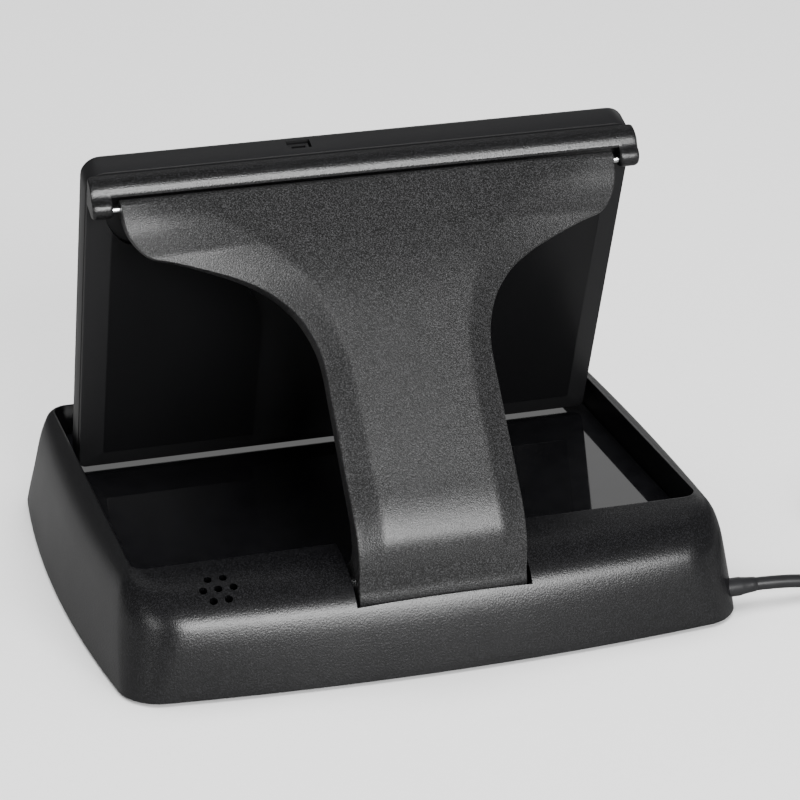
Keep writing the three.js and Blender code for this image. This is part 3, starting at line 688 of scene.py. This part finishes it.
def screw_tree(material: Material) -> Tree:
    """A pan-head cross-slot screw at every point, head towards -Z before it is turned."""
    shape = ShapeTree("cross_slot_screws", {
        "Head radius": 2.7 * MM, "Head height": 0.65 * MM, "Shank radius": 1.3 * MM,
        "Shank length": 7 * MM, "Slot width": 0.6 * MM, "Lean": 0.0})
    lift = shape.vector(Z=shape.times("Shank length", 0.5))
    shank = shape.add("Transform", {"Translation": lift, "Geometry": shape.cylinder(
        20, "Shank radius", "Shank length")})
    head = shape.cylinder(32, "Head radius", "Head height")
    body = shape.gather("MeshBoolean", (head, shank), 1, {"operation": "UNION"})
    down = shape.vector(Z=shape.times("Head height", -0.5))
    length = shape.times("Head radius", 1.2)
    width, height = shape.given["Slot width"], shape.given["Head height"]
    bars = tuple(shape.add("Transform", {"Translation": down,
                                         "Geometry": shape.add("MeshCube", {"Size": size})})
                 for size in (shape.vector(X=length, Y=width, Z=height),
                              shape.vector(X=width, Y=length, Z=height)))
    slotted = shape.gather("MeshBoolean", bars, 1, {"operation": "DIFFERENCE", 0: body})
    turn = shape.vector(X=shape.given["Lean"])
    return shape.scatter(shape.add("Transform", {"Geometry": slotted, "Rotation": turn}), material)


def perforation_tree(material: Material) -> Tree:
    """A ring of six round bars and one in the middle, tilted about X: the cutter of the sound holes."""
    shape = ShapeTree("sound_hole_cutters", {"Pitch": 3 * MM, "Hole radius": 0.8 * MM,
                                             "Depth": 9 * MM, "Tilt": 0.0})
    ring = shape.add("MeshCircle", {"Vertices": 6, "Radius": shape.given["Pitch"]})
    middle = shape.add("MeshLine", {"Count": 1})
    places = shape.gather("JoinGeometry", (ring, middle), 0)
    bars = shape.add("InstanceOnPoints", {"Points": places, "Instance": shape.cylinder(
        24, "Hole radius", "Depth")})
    solid = shape.add("RealizeInstances", {0: bars})
    turn = shape.vector(X=shape.given["Tilt"])
    return shape.scatter(shape.add("Transform", {"Geometry": solid, "Rotation": turn}), material)


# ---- camera, light and floor
@dataclass
class Studio:
    """The floor, the lights and the camera."""

    camera_place: Point = (156.6, 549.9, 275.2)
    camera_forward: Point = (-0.263, -0.884, -0.387)
    camera_roll: float = math.radians(-0.35)
    lens: float = 134.0

    def build(self) -> None:
        """Makes the camera first, then the floor and the lights."""
        self.make_camera()
        self.make_floor()
        self.make_lights()

    def make_camera(self) -> None:
        """The camera, at the viewing angle of the object."""
        data = bpy.data.cameras.new("camera")
        data.lens, data.sensor_width = self.lens, 36.0
        data.clip_start, data.clip_end = 0.01, 20.0
        camera = put("camera", data)
        forward = Vector(self.camera_forward).normalized()
        right = forward.cross(Vector((0, 0, 1))).normalized()
        up = right.cross(forward)
        turn = Matrix((right, up, -forward)).transposed() @ Matrix.Rotation(self.camera_roll, 3, "Z")
        camera.matrix_world = Matrix.Translation(Vector(self.camera_place) * MM) @ turn.to_4x4()
        bpy.context.scene.camera = camera

    def make_floor(self) -> None:
        """A large pale floor that the object stands on."""
        half = 3000.0
        floor = mesh_piece("studio_floor", [(-half, -half, 0), (half, -half, 0),
                                            (half, half, 0), (-half, half, 0)], [(0, 1, 2, 3)])
        dress(floor, StudioFloor("pale_paper_floor").build())

    def make_lights(self) -> None:
        """Soft boxes and a pale surround."""
        boxes = [
            ("front_box", (-160, 1150, 490), (0, 30, 40), 700, 470, 24.0, True),
            ("far_card", (-560, -1100, 480), (0, 0, 60), 1000, 420, 1.15, True),
            ("high_far_card", (0, -700, 1300), (0, 0, 60), 1200, 500, 0.8, True),
            ("side_box", (900, 560, 330), (0, 0, 30), 260, 260, 1.5, True),
            ("floor_wash", (0, 0, 1300), (0, 0, 0), 1600, 1600, 40.0, False),
        ]
        for name, place, target, width, height, watts, mirrored in boxes:
            data = bpy.data.lights.new(name, "AREA")
            data.shape = "RECTANGLE"
            data.size, data.size_y, data.energy = width * MM, height * MM, watts
            light = put(name, data)
            light.location = Vector(place) * MM
            light.rotation_mode = "QUATERNION"
            light.rotation_quaternion = (Vector(target) - Vector(place)).to_track_quat("-Z", "Y")
            light.visible_glossy = mirrored
        world = bpy.data.worlds.new("pale_surround")
        world.use_nodes = True
        set_up(world.node_tree, world.node_tree.nodes["Background"],
               {"Color": (1, 1, 1, 1), "Strength": 0.12})
        bpy.context.scene.world = world


# ---- cord
@dataclass
class Cord:
    """The thin cord: out of the side of the base, down to the surface, a coil and a round plug."""

    diameter: float = 2.8
    inner_turn: float = 11.2
    turns: int = 5
    coil_x: float = -118.0
    steps_per_turn: int = 24
    plug_y: float = -4.0
    plug_z: float = 4.5

    def route(self) -> list[Point]:
        """The cord's centre line, in millimetres."""
        y, z = CORD_Y, CORD_Z
        outer = self.inner_turn + (self.turns - 1) * self.diameter
        centre_y = y - outer
        tail_x = self.coil_x - outer
        points: list[Point] = [
            (-64.6, y, z), (-65.4, y, z), (-67.5, y, z), (-70, y, 4.75), (-73, y, 4.6),
            (-76, y, 4.35), (-79.5, y, 3.9), (-83, y, 3.35), (-87, y, 2.6), (-91, y, 1.95),
            (-95, y, 1.55), (-100.4, y, 1.4), (-106.4, y, 1.4), (-112, y, 1.4),
        ]
        spiral = (self.turns - 1) * self.steps_per_turn
        climb = self.steps_per_turn // 4
        for step in range(2 * spiral + climb + 1):
            angle = math.pi / 2 + 2 * math.pi * step / self.steps_per_turn
            inward = min(step, spiral) - max(step - spiral - climb, 0)
            radius = outer - self.diameter * inward / self.steps_per_turn
            rise = min(max((step - spiral) / climb, 0.0), 1.0)
            lift = self.diameter * rise * rise * (3 - 2 * rise)
            points.append((self.coil_x + radius * math.cos(angle),
                           centre_y + radius * math.sin(angle), self.diameter / 2 + lift))
        points += [(tail_x, along, height) for along, height in (
            (20, 4.2), (16, 4.2), (12.9, 4.2), (10, 4.2), (7, 4.25), (4, 4.35), (1, 4.45),
            (self.plug_y + GAP, self.plug_z))]
        return points

    def build(self, finishes: Finishes) -> None:
        points = self.route()
        curve = bpy.data.curves.new("cord_line", "CURVE")
        curve.dimensions = "3D"
        curve.bevel_depth = self.diameter / 2 * MM
        curve.bevel_resolution = 5
        curve.use_fill_caps = True
        spline = curve.splines.new("POLY")
        spline.points.add(len(points) - 1)
        for place, point in zip(spline.points, points):
            place.co = (*(Vector(point) * MM), 1.0)
        spline.use_smooth = True
        line = put("cord_line", curve)
        curve.materials.append(finishes.cable)
        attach(line, "base")
        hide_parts("cord_lead", "cord_coil", "cord_tail")
        grip = self.make_grip(finishes)

    def make_grip(self, finishes: Finishes) -> Piece:
        """The moulded grip of the plug: a ribbed strain relief and a waisted body."""
        x = self.coil_x - self.inner_turn - (self.turns - 1) * self.diameter
        profile: list[Pair] = [(0.0, 1.9), (0.4, 2.2)]
        for rib in range(4):
            start = 1.2 + rib * 1.9
            size = 2.3 + 0.16 * rib
            profile += [(start, size), (start + 1.0, size + 0.05), (start + 1.2, size - 0.35),
                        (start + 1.7, size - 0.3)]
        profile += [(8.9, 2.9), (9.1, 3.7), (9.9, 4.25), (12.5, 4.35), (15.5, 4.05), (18.5, 4.1),
                    (21.5, 4.35), (23.3, 4.35), (23.8, 4.15), (24.0, 3.8)]
        rings = [[(x + across, self.plug_y - along, self.plug_z + up) for across, up in circle(r, 40)]
                 for along, r in profile]
        grip = loft("cord_plug_grip", rings)
        complete(grip, finishes.cable, 40, "base", "cord", "plug_grip")
        dress_nodes(finishes.tin, "plug_sleeve", "plug_pins")
        return grip


# ---- base
@dataclass(frozen=True)
class BaseLevel:
    """How far the outside of the base stands outside the tray at one depth below the rim."""

    drop: float
    near: float
    side: float
    far: float
    corner: float


@dataclass
class TrayBase:
    """The tray-shaped base with its notch, its sound holes and its polished floor."""

    rim: float = 22.6
    skin: float = 2.2
    half_x: float = 58.5
    near_y: float = 38.75
    far_y: float = -46.25
    corner: float = 3.0
    web_top: float = 14.3
    notch_half: float = 17.9
    near_bow: float = 1120.0
    side_bow: float = 800.0
    side_bow_y: float = -5.0
    levels: tuple[BaseLevel, ...] = (
        BaseLevel(0, 0.35, 0.25, 0.25, 3.2), BaseLevel(0.15, 1.5, 0.9, 0.8, 3.8),
        BaseLevel(0.7, 5, 2.2, 2.0, 5.5), BaseLevel(1.8, 9, 3.5, 3.2, 8),
        BaseLevel(3.6, 12.3, 4.7, 4.4, 10), BaseLevel(6.2, 14.9, 5.7, 5.5, 11),
        BaseLevel(9.5, 16.3, 6.5, 6.6, 11), BaseLevel(14, 17.3, 7.5, 8.2, 10),
        BaseLevel(19.5, 18.2, 8.7, 10.2, 8), BaseLevel(22, 18.5, 9.2, 11, 7))

    def ring(self, level: BaseLevel, inset: float = 0.0, lowered: float = 0.0) -> list[Point]:
        """A bowed, rounded rectangle round the base at one level."""
        foot = self.levels[-1]
        half = self.half_x + level.side - inset
        y0 = self.far_y - level.far + inset
        y1 = self.near_y + level.near - inset
        corner = max(level.corner - inset / 2, 2)
        bow = level.side / foot.side
        z = self.rim - level.drop - lowered
        points: list[Point] = []
        for x, y in rounded_outline(-half, half, y0, y1, corner, 12, 24):
            side_drop = bow * (y - self.side_bow_y) ** 2 / self.side_bow
            end_drop = bow * x * x / self.near_bow
            end = y1 if y > 0 else y0
            points.append((x - math.copysign(side_drop, x) * abs(x) / half,
                           y - math.copysign(end_drop, y) * abs(y) / abs(end), z))
        return points

    def build(self, finishes: Finishes) -> None:
        """Makes the shell and dresses the carried-over nodes."""
        shell = self.make_shell()
        self.shape(shell, finishes)
        complete(shell, finishes.shell, 35, "base", "satin_shell", "base_top_shell")
        self.make_screws(finishes)
        self.make_relief(finishes)
        dress_nodes(finishes.shell, "base_bottom_cover")
        dress_nodes(finishes.floor_panel, "tray_floor")
        dress_nodes(finishes.foam, "mounting_pad", "speaker")
        dress_nodes(finishes.board, "main_board")
        dress_nodes(finishes.steel, "arm_hinge_pin")
        dress_nodes(finishes.screw, "pin_clip_left", "pin_clip_right")

    def make_shell(self) -> Piece:
        """One closed skin: inside, round the foot, up the outside and down into the tray."""
        rows = [(lv.drop, lv.near, lv.side, lv.far, lv.corner) for lv in self.levels]
        outer = [BaseLevel(*row) for row in smooth_rows(rows, 5)]
        outer.reverse()
        foot = outer[0]
        rings = [self.ring(self.levels[6], self.skin, 1.2), self.ring(self.levels[8], self.skin, 0.3),
                 self.ring(foot, self.skin + 0.3, -0.3), self.ring(foot, self.skin),
                 self.ring(foot, 0.5), self.ring(foot, 0.15, -0.12)]
        rings += [self.ring(level) for level in outer[1:]]
        for outset, drop in ((0.12, 0.03), (0.03, 0.12), (0.0, 0.25), (0.0, 4.0),
                             (0.0, self.rim - self.web_top)):
            rings.append(self.tray_ring(outset, drop))
        return loft("tray_shell", rings)

    def tray_ring(self, outset: float, drop: float) -> list[Point]:
        """A ring round the tray's opening."""
        outline = rounded_outline(-self.half_x - outset, self.half_x + outset,
                                  self.far_y - outset, self.near_y + outset,
                                  self.corner + outset, 12, 24)
        return [(x, y, self.rim - drop) for x, y in outline]

    def shape(self, shell: Piece, finishes: Finishes) -> None:
        """Adds the notch's block, and cuts the notch, the sound holes and the cord's hole."""
        half = self.notch_half
        block = side_profile("notch_block", [(37.4, 5.9), (54.4, 5.9), (54.4, 12.6), (37.4, 12.6)],
                             -half - 1.8, half + 1.8)
        pocket = side_profile("notch_cut", [(39.15, 7.7), (53.95, 7.7), (53.95, 30), (37, 30),
                                            (37, 16.4), (39.15, 16.4)], -half, half)
        holes = run_group("sound_holes", [(43.8, 47.3, 20.2)], perforation_tree(finishes.shell),
                          {"Tilt": -math.radians(38), "Depth": 9 * MM})
        cord_hole = rod("cord_hole", (-70, CORD_Y, CORD_Z), (-56.6, CORD_Y, CORD_Z), 2.0)
        combine(shell, block, Operation.JOIN)
        cut(shell, pocket, holes, cord_hole)

    def make_relief(self, finishes: Finishes) -> None:
        """The cord's strain relief: a flange inside the wall and a tapered sleeve outside it."""
        profile = [(-56.6, 1.7), (-56.6, 2.75), (-57.9, 2.8), (-58.2, 1.95), (-64.9, 1.95),
                   (-65.3, 1.85), (-66.4, 1.7), (-67.4, 1.6), (-68.4, 1.5), (-68.5, 1.44)]
        rings = [[(x, CORD_Y + across, CORD_Z + up) for across, up in circle(r, 32)]
                 for x, r in profile]
        relief = loft("cord_relief", rings)
        bore = rod("relief_bore", (-63, CORD_Y, CORD_Z), (-50, CORD_Y, CORD_Z), 1.5)
        cut(relief, bore)
        complete(relief, finishes.cable, 40, "base", "cord", "cord_grommet")

    def make_screws(self, finishes: Finishes) -> None:
        """The four screws of the bottom cover."""
        places = []
        for number in range(1, 5):
            low, high = node_box(f"base_screw_{number}")
            places.append(((low.x + high.x) / 2, (low.y + high.y) / 2, low.z + 0.33))
        screws = run_group("base_screws", places, screw_tree(finishes.screw),
                           {"Shank length": 7.5 * MM})
        soften(screws, 32)
        settle(screws, "base", "screw_steel", *(f"base_screw_{n}" for n in range(1, 5)))


# ---- arm
@dataclass(frozen=True)
class Station:
    """The arm's section at one distance down its plate: (down, height) of each line, half widths."""

    outer: Pair
    edge: Pair
    under: Pair
    half: float
    facet: float


@dataclass
class SupportArm:
    """The wide Y-shaped arm with its bevelled outline, its barrel and its fixings."""

    barrel: float = 8.35
    eye: float = 3.9
    knuckle: float = 1.9
    wing_half: float = 51.3
    bore: float = 1.62
    stations: tuple[Station, ...] = (
        *(Station((down, outer), (down, edge), (down, under), half, facet)
          for down, outer, edge, under, half, facet in (
            (0, 2.05, 1.95, -1.4, 51.3, 38), (3, 2.75, 1.4, -1.1, 51.2, 34.2),
            (6, 3.3, 0.65, -0.8, 50.5, 30.4), (9, 3.8, 0.45, -0.6, 48.8, 27),
            (11, 4.15, 0.55, -0.5, 46.6, 25), (12.3, 4.35, 0.75, -0.5, 42.6, 23.7),
            (14.6, 4.6, 1.2, -0.5, 36.8, 21.7), (17.5, 4.9, 1.8, -0.5, 30.6, 19.4),
            (21, 5.1, 2.4, -0.5, 25.4, 17.1), (26, 5.2, 3.0, -0.5, 20.9, 15),
            (31.5, 5.2, 3.3, -0.5, 18.3, 13.4), (37, 5.2, 3.3, -0.5, 17.2, 12.4),
            (45, 5.2, 3.3, -0.5, 17.1, 11.9), (54, 5.2, 3.3, -0.5, 17.1, 11.8),
            (62, 5.2, 3.3, -0.5, 17.1, 11.8))),
        Station((67, 5.25), (66.8, 3.4), (67.5, -0.6), 17.1, 11.8),
        Station((71, 4.9), (70.6, 3.2), (70.5, -1.2), 17.1, 11.8),
        Station((74.5, 4), (74, 2.5), (73, -2.6), 17.1, 11.9),
        Station((77.5, 2.1), (77, 1.2), (74.4, -4.4), 17.1, 12.1),
        Station((79.8, 0.1), (79.4, -0.5), (74.8, -6.2), 17.1, 12.4))

    def place(self, x: float, down: float, height: float) -> Point:
        """A point of the plate's own frame in the row frame."""
        turn = Matrix.Rotation(ARM_LEAN, 3, "X")
        return tuple(SCREEN_PIVOT + turn @ Vector((x, height, -down)))

    def pivot(self) -> Pair:
        """The lower pivot in the plate's own frame."""
        local = Matrix.Rotation(-ARM_LEAN, 3, "X") @ (ARM_PIVOT - SCREEN_PIVOT)
        return -local.z, local.y

    def all_stations(self) -> list[Station]:
        """The plate's stations and those round the barrel."""
        down, height = self.pivot()
        made = list(self.stations)
        for step in range(5):
            share = step / 4
            angle = math.radians(25 + 55 * share)

            def around(radius: float, turn: float = angle) -> Pair:
                """A point of the barrel."""
                return down + radius * math.sin(turn), height + radius * math.cos(turn)

            made.append(Station(around(self.barrel), around(self.barrel - 0.6 + 0.3 * share),
                                (74.9 + 2.2 * share, -7.4 - 2.4 * share), 17.1, 12.5 + share))
        return made

    def build(self, finishes: Finishes) -> None:
        """Makes the cover and dresses the carried-over nodes."""
        cover = self.make_cover()
        down, height = self.pivot()
        knuckle = rod("knuckle", self.place(-self.wing_half, 0, 0),
                      self.place(self.wing_half, 0, 0), self.knuckle, 48)
        eye = rod("eye", self.place(-17.1, down, height), self.place(17.1, down, height),
                  self.eye, 48)
        bore = rod("bore", self.place(-20, down, height), self.place(20, down, height), self.bore, 32)
        combine(cover, knuckle, Operation.JOIN)
        combine(cover, eye, Operation.JOIN)
        cut(cover, self.make_cavity(), bore)
        complete(cover, finishes.arm, 38, "arm", "arm_shell", "arm_cover")
        self.make_screws(finishes)
        dress_nodes(finishes.arm, "arm_inner_cover")
        dress_nodes(finishes.ribbon, "arm_harness")
        dress_nodes(finishes.steel, "screen_pin_left", "screen_pin_right")

    def make_cover(self) -> Piece:
        """The arm's skin: a bevelled section swept down the plate and round the bend."""
        rows = [(*s.outer, *s.edge, *s.under, s.half, s.facet) for s in self.all_stations()]
        rings = [self.section(row) for row in smooth_rows(rows, 4)]
        return loft("arm_shell", rings)

    def section(self, row: tuple[float, ...], shrink: float = 0.0) -> list[Point]:
        """One closed section with a softened outline edge and facet line."""
        outer, edge, under, half, facet = row[0:2], row[2:4], row[4:6], row[6], row[7]
        wide = half - shrink
        flat = min(facet, wide - 1.5)
        radius = 0.3
        soft = 0.8

        def mixed(x: float) -> Pair:
            """The outer surface at a distance from the middle, with the facet line blended."""
            if x <= flat - soft:
                share = 0.0
            elif x >= flat + soft:
                share = (x - flat) / (wide - flat)
            else:
                share = (x - flat + soft) ** 2 / (4 * soft) / (wide - flat)
            return (outer[0] + (edge[0] - outer[0]) * share,
                    outer[1] + (edge[1] - outer[1]) * share)

        side: list[tuple[float, float, float]] = []
        for share in (0.0, 0.34, 0.67):
            x = (flat - soft) * share
            side.append((x, *mixed(x)))
        for step in range(5):
            x = flat - soft + 2 * soft * step / 4
            side.append((x, *mixed(x)))
        for share in (0.35, 0.7):
            x = flat + soft + (wide - radius - flat - soft) * share
            side.append((x, *mixed(x)))
        top = mixed(wide - radius)
        for step in range(5):
            turn = math.radians(90 * step / 4)
            side.append((wide - radius + radius * math.sin(turn), top[0],
                         top[1] - radius * (1 - math.cos(turn))))
        side.append((wide, under[0], under[1] + 0.3))
        side.append((wide - 0.3, under[0], under[1]))
        right = [self.place(x, down, height) for x, down, height in side]
        left = [self.place(-x, down, height) for x, down, height in reversed(side[1:])]
        return right + left

    def make_cavity(self) -> Piece:
        """The hollow behind the outer skin, open towards the screen."""
        rings = []
        for s in self.stations[2:15]:
            wide = s.half - 2
            flat = min(s.facet, wide - 0.5)
            low = min(s.edge[1] - 1.3, 1.3)
            rings.append([self.place(-wide, s.edge[0], low),
                          self.place(-flat, s.outer[0], s.outer[1] - 1.5),
                          self.place(flat, s.outer[0], s.outer[1] - 1.5),
                          self.place(wide, s.edge[0], low),
                          self.place(wide, s.under[0], -2.5), self.place(-wide, s.under[0], -2.5)])
        return loft("arm_cavity", rings)

    def make_screws(self, finishes: Finishes) -> None:
        """The small screws that hold the inner cover."""
        places = [self.place(x, down, -0.5) for x, down in ((-30, 9), (30, 9), (0, 58))]
        screws = run_group("arm_screws", places, screw_tree(finishes.screw),
                           {"Head radius": 1.7 * MM, "Head height": 0.5 * MM,
                            "Shank radius": 0.7 * MM, "Shank length": 2.6 * MM,
                            "Slot width": 0.4 * MM, "Lean": ARM_LEAN - math.pi / 2})
        soften(screws, 32)
        settle(screws, "arm", "screw_steel", "arm_screw_1", "arm_screw_2", "arm_screw_3")


# ---- screen
@dataclass
class ScreenHead:
    """The screen: bezel, rear housing with its rail and ears, display, keys and catch."""

    half_x: float = 57.15
    top: float = 5.1
    bottom: float = -73.3
    corner: float = 4.0
    foot_corner: float = 1.4
    front: float = -11.5
    bezel_back: float = -5.45
    seam: float = -5.15
    shoulder: float = -4.1
    plateau: float = -2.6
    bevel: float = 5.2
    ear_inner: float = 52.9
    ear_outer: float = 56.95
    ear_radius: float = 2.1
    ear_centre: Pair = (-0.4, 0.3)
    pocket_depth: float = 0.9
    pocket_margin: float = 2.4

    def place(self, x: float, y: float, z: float) -> Point:
        """A point of the leaning screen's own frame in the row frame."""
        turn = Matrix.Rotation(-SCREEN_LEAN, 3, "X")
        return tuple(SCREEN_PIVOT + turn @ Vector((x, y, z)))

    def outline(self, x0: float, x1: float, low: float, high: float, top_radius: float,
                foot_radius: float) -> list[Pair]:
        """A rounded rectangle in (x, z) with its own radius at the foot."""
        top = rounded_outline(x0, x1, low, high, top_radius, 8, 6)
        foot = rounded_outline(x0, x1, low, high, foot_radius, 8, 6)
        middle = (low + high) / 2
        return [a if a[1] > middle else b for a, b in zip(top, foot)]

    def panel(self, name: str, levels: list[tuple[float, ...]], half: float, low: float,
              high: float, corner: float, centre: float = 0.0) -> Piece:
        """Rounded outlines in (x, z) at levels of y and inset, with the foot's inset if it differs."""
        rings = []
        for y, inset, *own in levels:
            foot = own[0] if own else inset
            radius = max(corner - inset, 0.5)
            outline = self.outline(centre - half + inset, centre + half - inset, low + foot,
                                   high - inset, radius, min(radius, self.foot_corner))
            rings.append([self.place(x, y, z) for x, z in outline])
        return loft(name, rings)

    def turned(self, piece: Piece) -> Piece:
        """A piece drawn in the screen's own frame, put into the row frame."""
        turn = Matrix.Translation(SCREEN_PIVOT * MM) @ Matrix.Rotation(-SCREEN_LEAN, 4, "X")
        piece.data.transform(turn)
        return piece

    def build(self, arm: SupportArm, finishes: Finishes) -> None:
        """Makes the bezel, the rear housing, the rail and the keys, and dresses the rest."""
        self.make_bezel(finishes)
        self.make_rear(arm, finishes)
        self.make_keys(finishes)
        dress_nodes(finishes.glass, "display_glass")
        dress_nodes(finishes.tin, "display_module")
        dress_nodes(finishes.board, "driver_board", "button_board")
        dress_nodes(finishes.bezel, "catch_insert")

    def make_bezel(self, finishes: Finishes) -> None:
        """The front frame with its sloped window, key openings and catch slot."""
        f, b = self.front, self.bezel_back
        rim = [(f, 1.0), (f + 0.08, 0.6), (f + 0.25, 0.3), (f + 0.55, 0.1), (f + 1.0, 0.0),
               (b - 0.25, 0.0), (b - 0.08, 0.06), (b, 0.22)]
        bezel = self.panel("front_frame", rim, self.half_x, self.bottom, self.top, self.corner)
        cavity = self.panel("bezel_cavity", [(f + 1.6, 0), (b + 1, 0)], self.half_x - 1.8,
                            self.bottom + 1.8, self.top - 1.8, 2.5)
        window = self.panel("bezel_window", [(f - 1, -2.6), (f + 2.6, 0)], 47.8, -57.5, -3.3, 1.0)
        holes = [self.panel("key_hole", [(f - 1, 0), (f + 2.6, 0)], 3.8, -70.0, -66.8, 1.2, x)
                 for x in self.key_places()]
        slot = self.turned(side_profile("catch_slot", [(-9.9, 2.3), (-7.4, 2.3), (-7.4, 6.1),
                                                       (-9.9, 6.1)], 10.7, 15.6))
        cut(bezel, cavity, window, *holes, slot)
        complete(bezel, finishes.bezel, 35, "screen", "bezel", "front_bezel")

    def key_places(self) -> list[float]:
        """The keys' places along X."""
        return [(i - 1.5) * 13.0 for i in range(4)]

    def make_keys(self, finishes: Finishes) -> None:
        """Four soft-edged keys, each on its own body."""
        for number, x in enumerate(self.key_places(), 1):
            levels = [(-12.1, 0.75), (-12.05, 0.45), (-11.9, 0.2), (-11.65, 0.05), (-11.4, 0),
                      (-9.6, 0), (-9.55, -0.6), (-8.8, -0.6)]
            key = self.panel(f"key_{number}", levels, 3.5, -69.7, -67.1, 0.95, x)
            complete(key, finishes.key, 40, f"button_{number}", "key", f"front_button_{number}")

    def make_rear(self, arm: SupportArm, finishes: Finishes) -> None:
        """The rear housing: side walls, bevel and polished plateau with the arm's pocket."""
        low, high = self.bottom + 0.2, self.top - 0.25
        levels = [(self.seam, 0.3, 0.1), (self.seam + 0.1, 0.15, 0.0),
                  (self.shoulder - 0.3, 0.2, 0.0), (self.shoulder - 0.1, 0.28, 0.1),
                  (self.shoulder, 0.5, 0.3), (self.shoulder + 0.06, 0.72, 0.5),
                  (self.plateau - 0.04, self.bevel - 0.12, self.bevel - 0.12),
                  (self.plateau, self.bevel + 0.1, self.bevel + 0.1)]
        rear = self.panel("rear_shell", levels, self.half_x, low, high, self.corner)
        trim = self.turned(side_profile("top_trim", [(self.shoulder + 0.2, -1.8), (4, -1.8), (4, 10),
                                                     (self.shoulder + 0.2, 10)], -59, 59))
        hollow = self.panel("rear_hollow", [(self.seam - 1, 2, 1.8), (self.shoulder - 0.3, 2.2, 2),
                                            (self.plateau - 2.2, 6.2, 6.2)], self.half_x, low, high,
                            3.0)
        cut(rear, trim, self.pocket(arm), hollow)
        complete(rear, finishes.back_panel, 35, "screen", "gloss_panel", "rear_housing")
        self.make_rail(finishes)

    def pocket(self, arm: SupportArm) -> Piece:
        """The shallow pocket that follows the arm's outline when the screen is folded on it."""
        y = self.plateau - self.pocket_depth
        rows = [(s.outer[0], s.half) for s in arm.stations[:17]]
        rings = []
        for down, half in smooth_rows(rows, 4):
            z = -down - (1.0 if down > 60 else 0.0)
            wide = half + self.pocket_margin
            rings.append([self.place(-wide, y, z), self.place(-wide, 3, z),
                          self.place(wide, 3, z), self.place(wide, y, z)])
        return loft("arm_pocket", rings)

    def make_rail(self, finishes: Finishes) -> None:
        """The rounded rail along the top edge, with an ear round each hinge pin."""
        centre = (-4.3, 1.9)
        curve = [(centre[0] + 3.5 * math.sin(math.radians(a)),
                  centre[1] + 2.95 * math.cos(math.radians(a))) for a in range(0, 86, 8)]
        top = [(self.seam, 4.75), (self.seam + 0.1, 4.85), *curve]
        lip = [(-0.86, 2.4), (-1.6, 2.02), (-2.3, 1.25), (-2.6, 0.0), (-2.9, -1.0), (-3.4, -1.8),
               (self.seam, -1.8)]
        rail = self.turned(side_profile("top_rail", top + lip, -self.ear_outer, self.ear_outer, 1.0))
        centre_y, centre_z = self.ear_centre
        ear = top[:-2] + [(centre_y + self.ear_radius * math.cos(a),
                          centre_z + self.ear_radius * math.sin(a))
                         for a in (math.radians(85 - 175 * i / 20) for i in range(21))]
        ear += [(self.plateau, centre_z - self.ear_radius), (self.seam, centre_z - self.ear_radius)]
        for side in (-1, 1):
            ends = sorted((side * self.ear_inner, side * self.ear_outer))
            lug = self.turned(side_profile("ear", ear, ends[0], ends[1], 0.9))
            combine(rail, lug, Operation.JOIN)
            bore = self.turned(rod("pin_bore", (side * (self.ear_inner - 1), 0, 0),
                                   (side * (self.ear_outer - 0.8), 0, 0), 0.95))
            cut(rail, bore)
        complete(rail, finishes.rail, 35, "screen", "bezel")


def main() -> None:
    """Builds the camera, the cord and every sub-assembly in order."""
    logging.basicConfig(level=logging.INFO, format="%(name)s: %(message)s")
    Studio().build()
    finishes = Finishes()
    Cord().build(finishes)
    TrayBase().build(finishes)
    arm = SupportArm()
    arm.build(finishes)
    ScreenHead().build(arm, finishes)


if __name__ == "__main__":
    main()
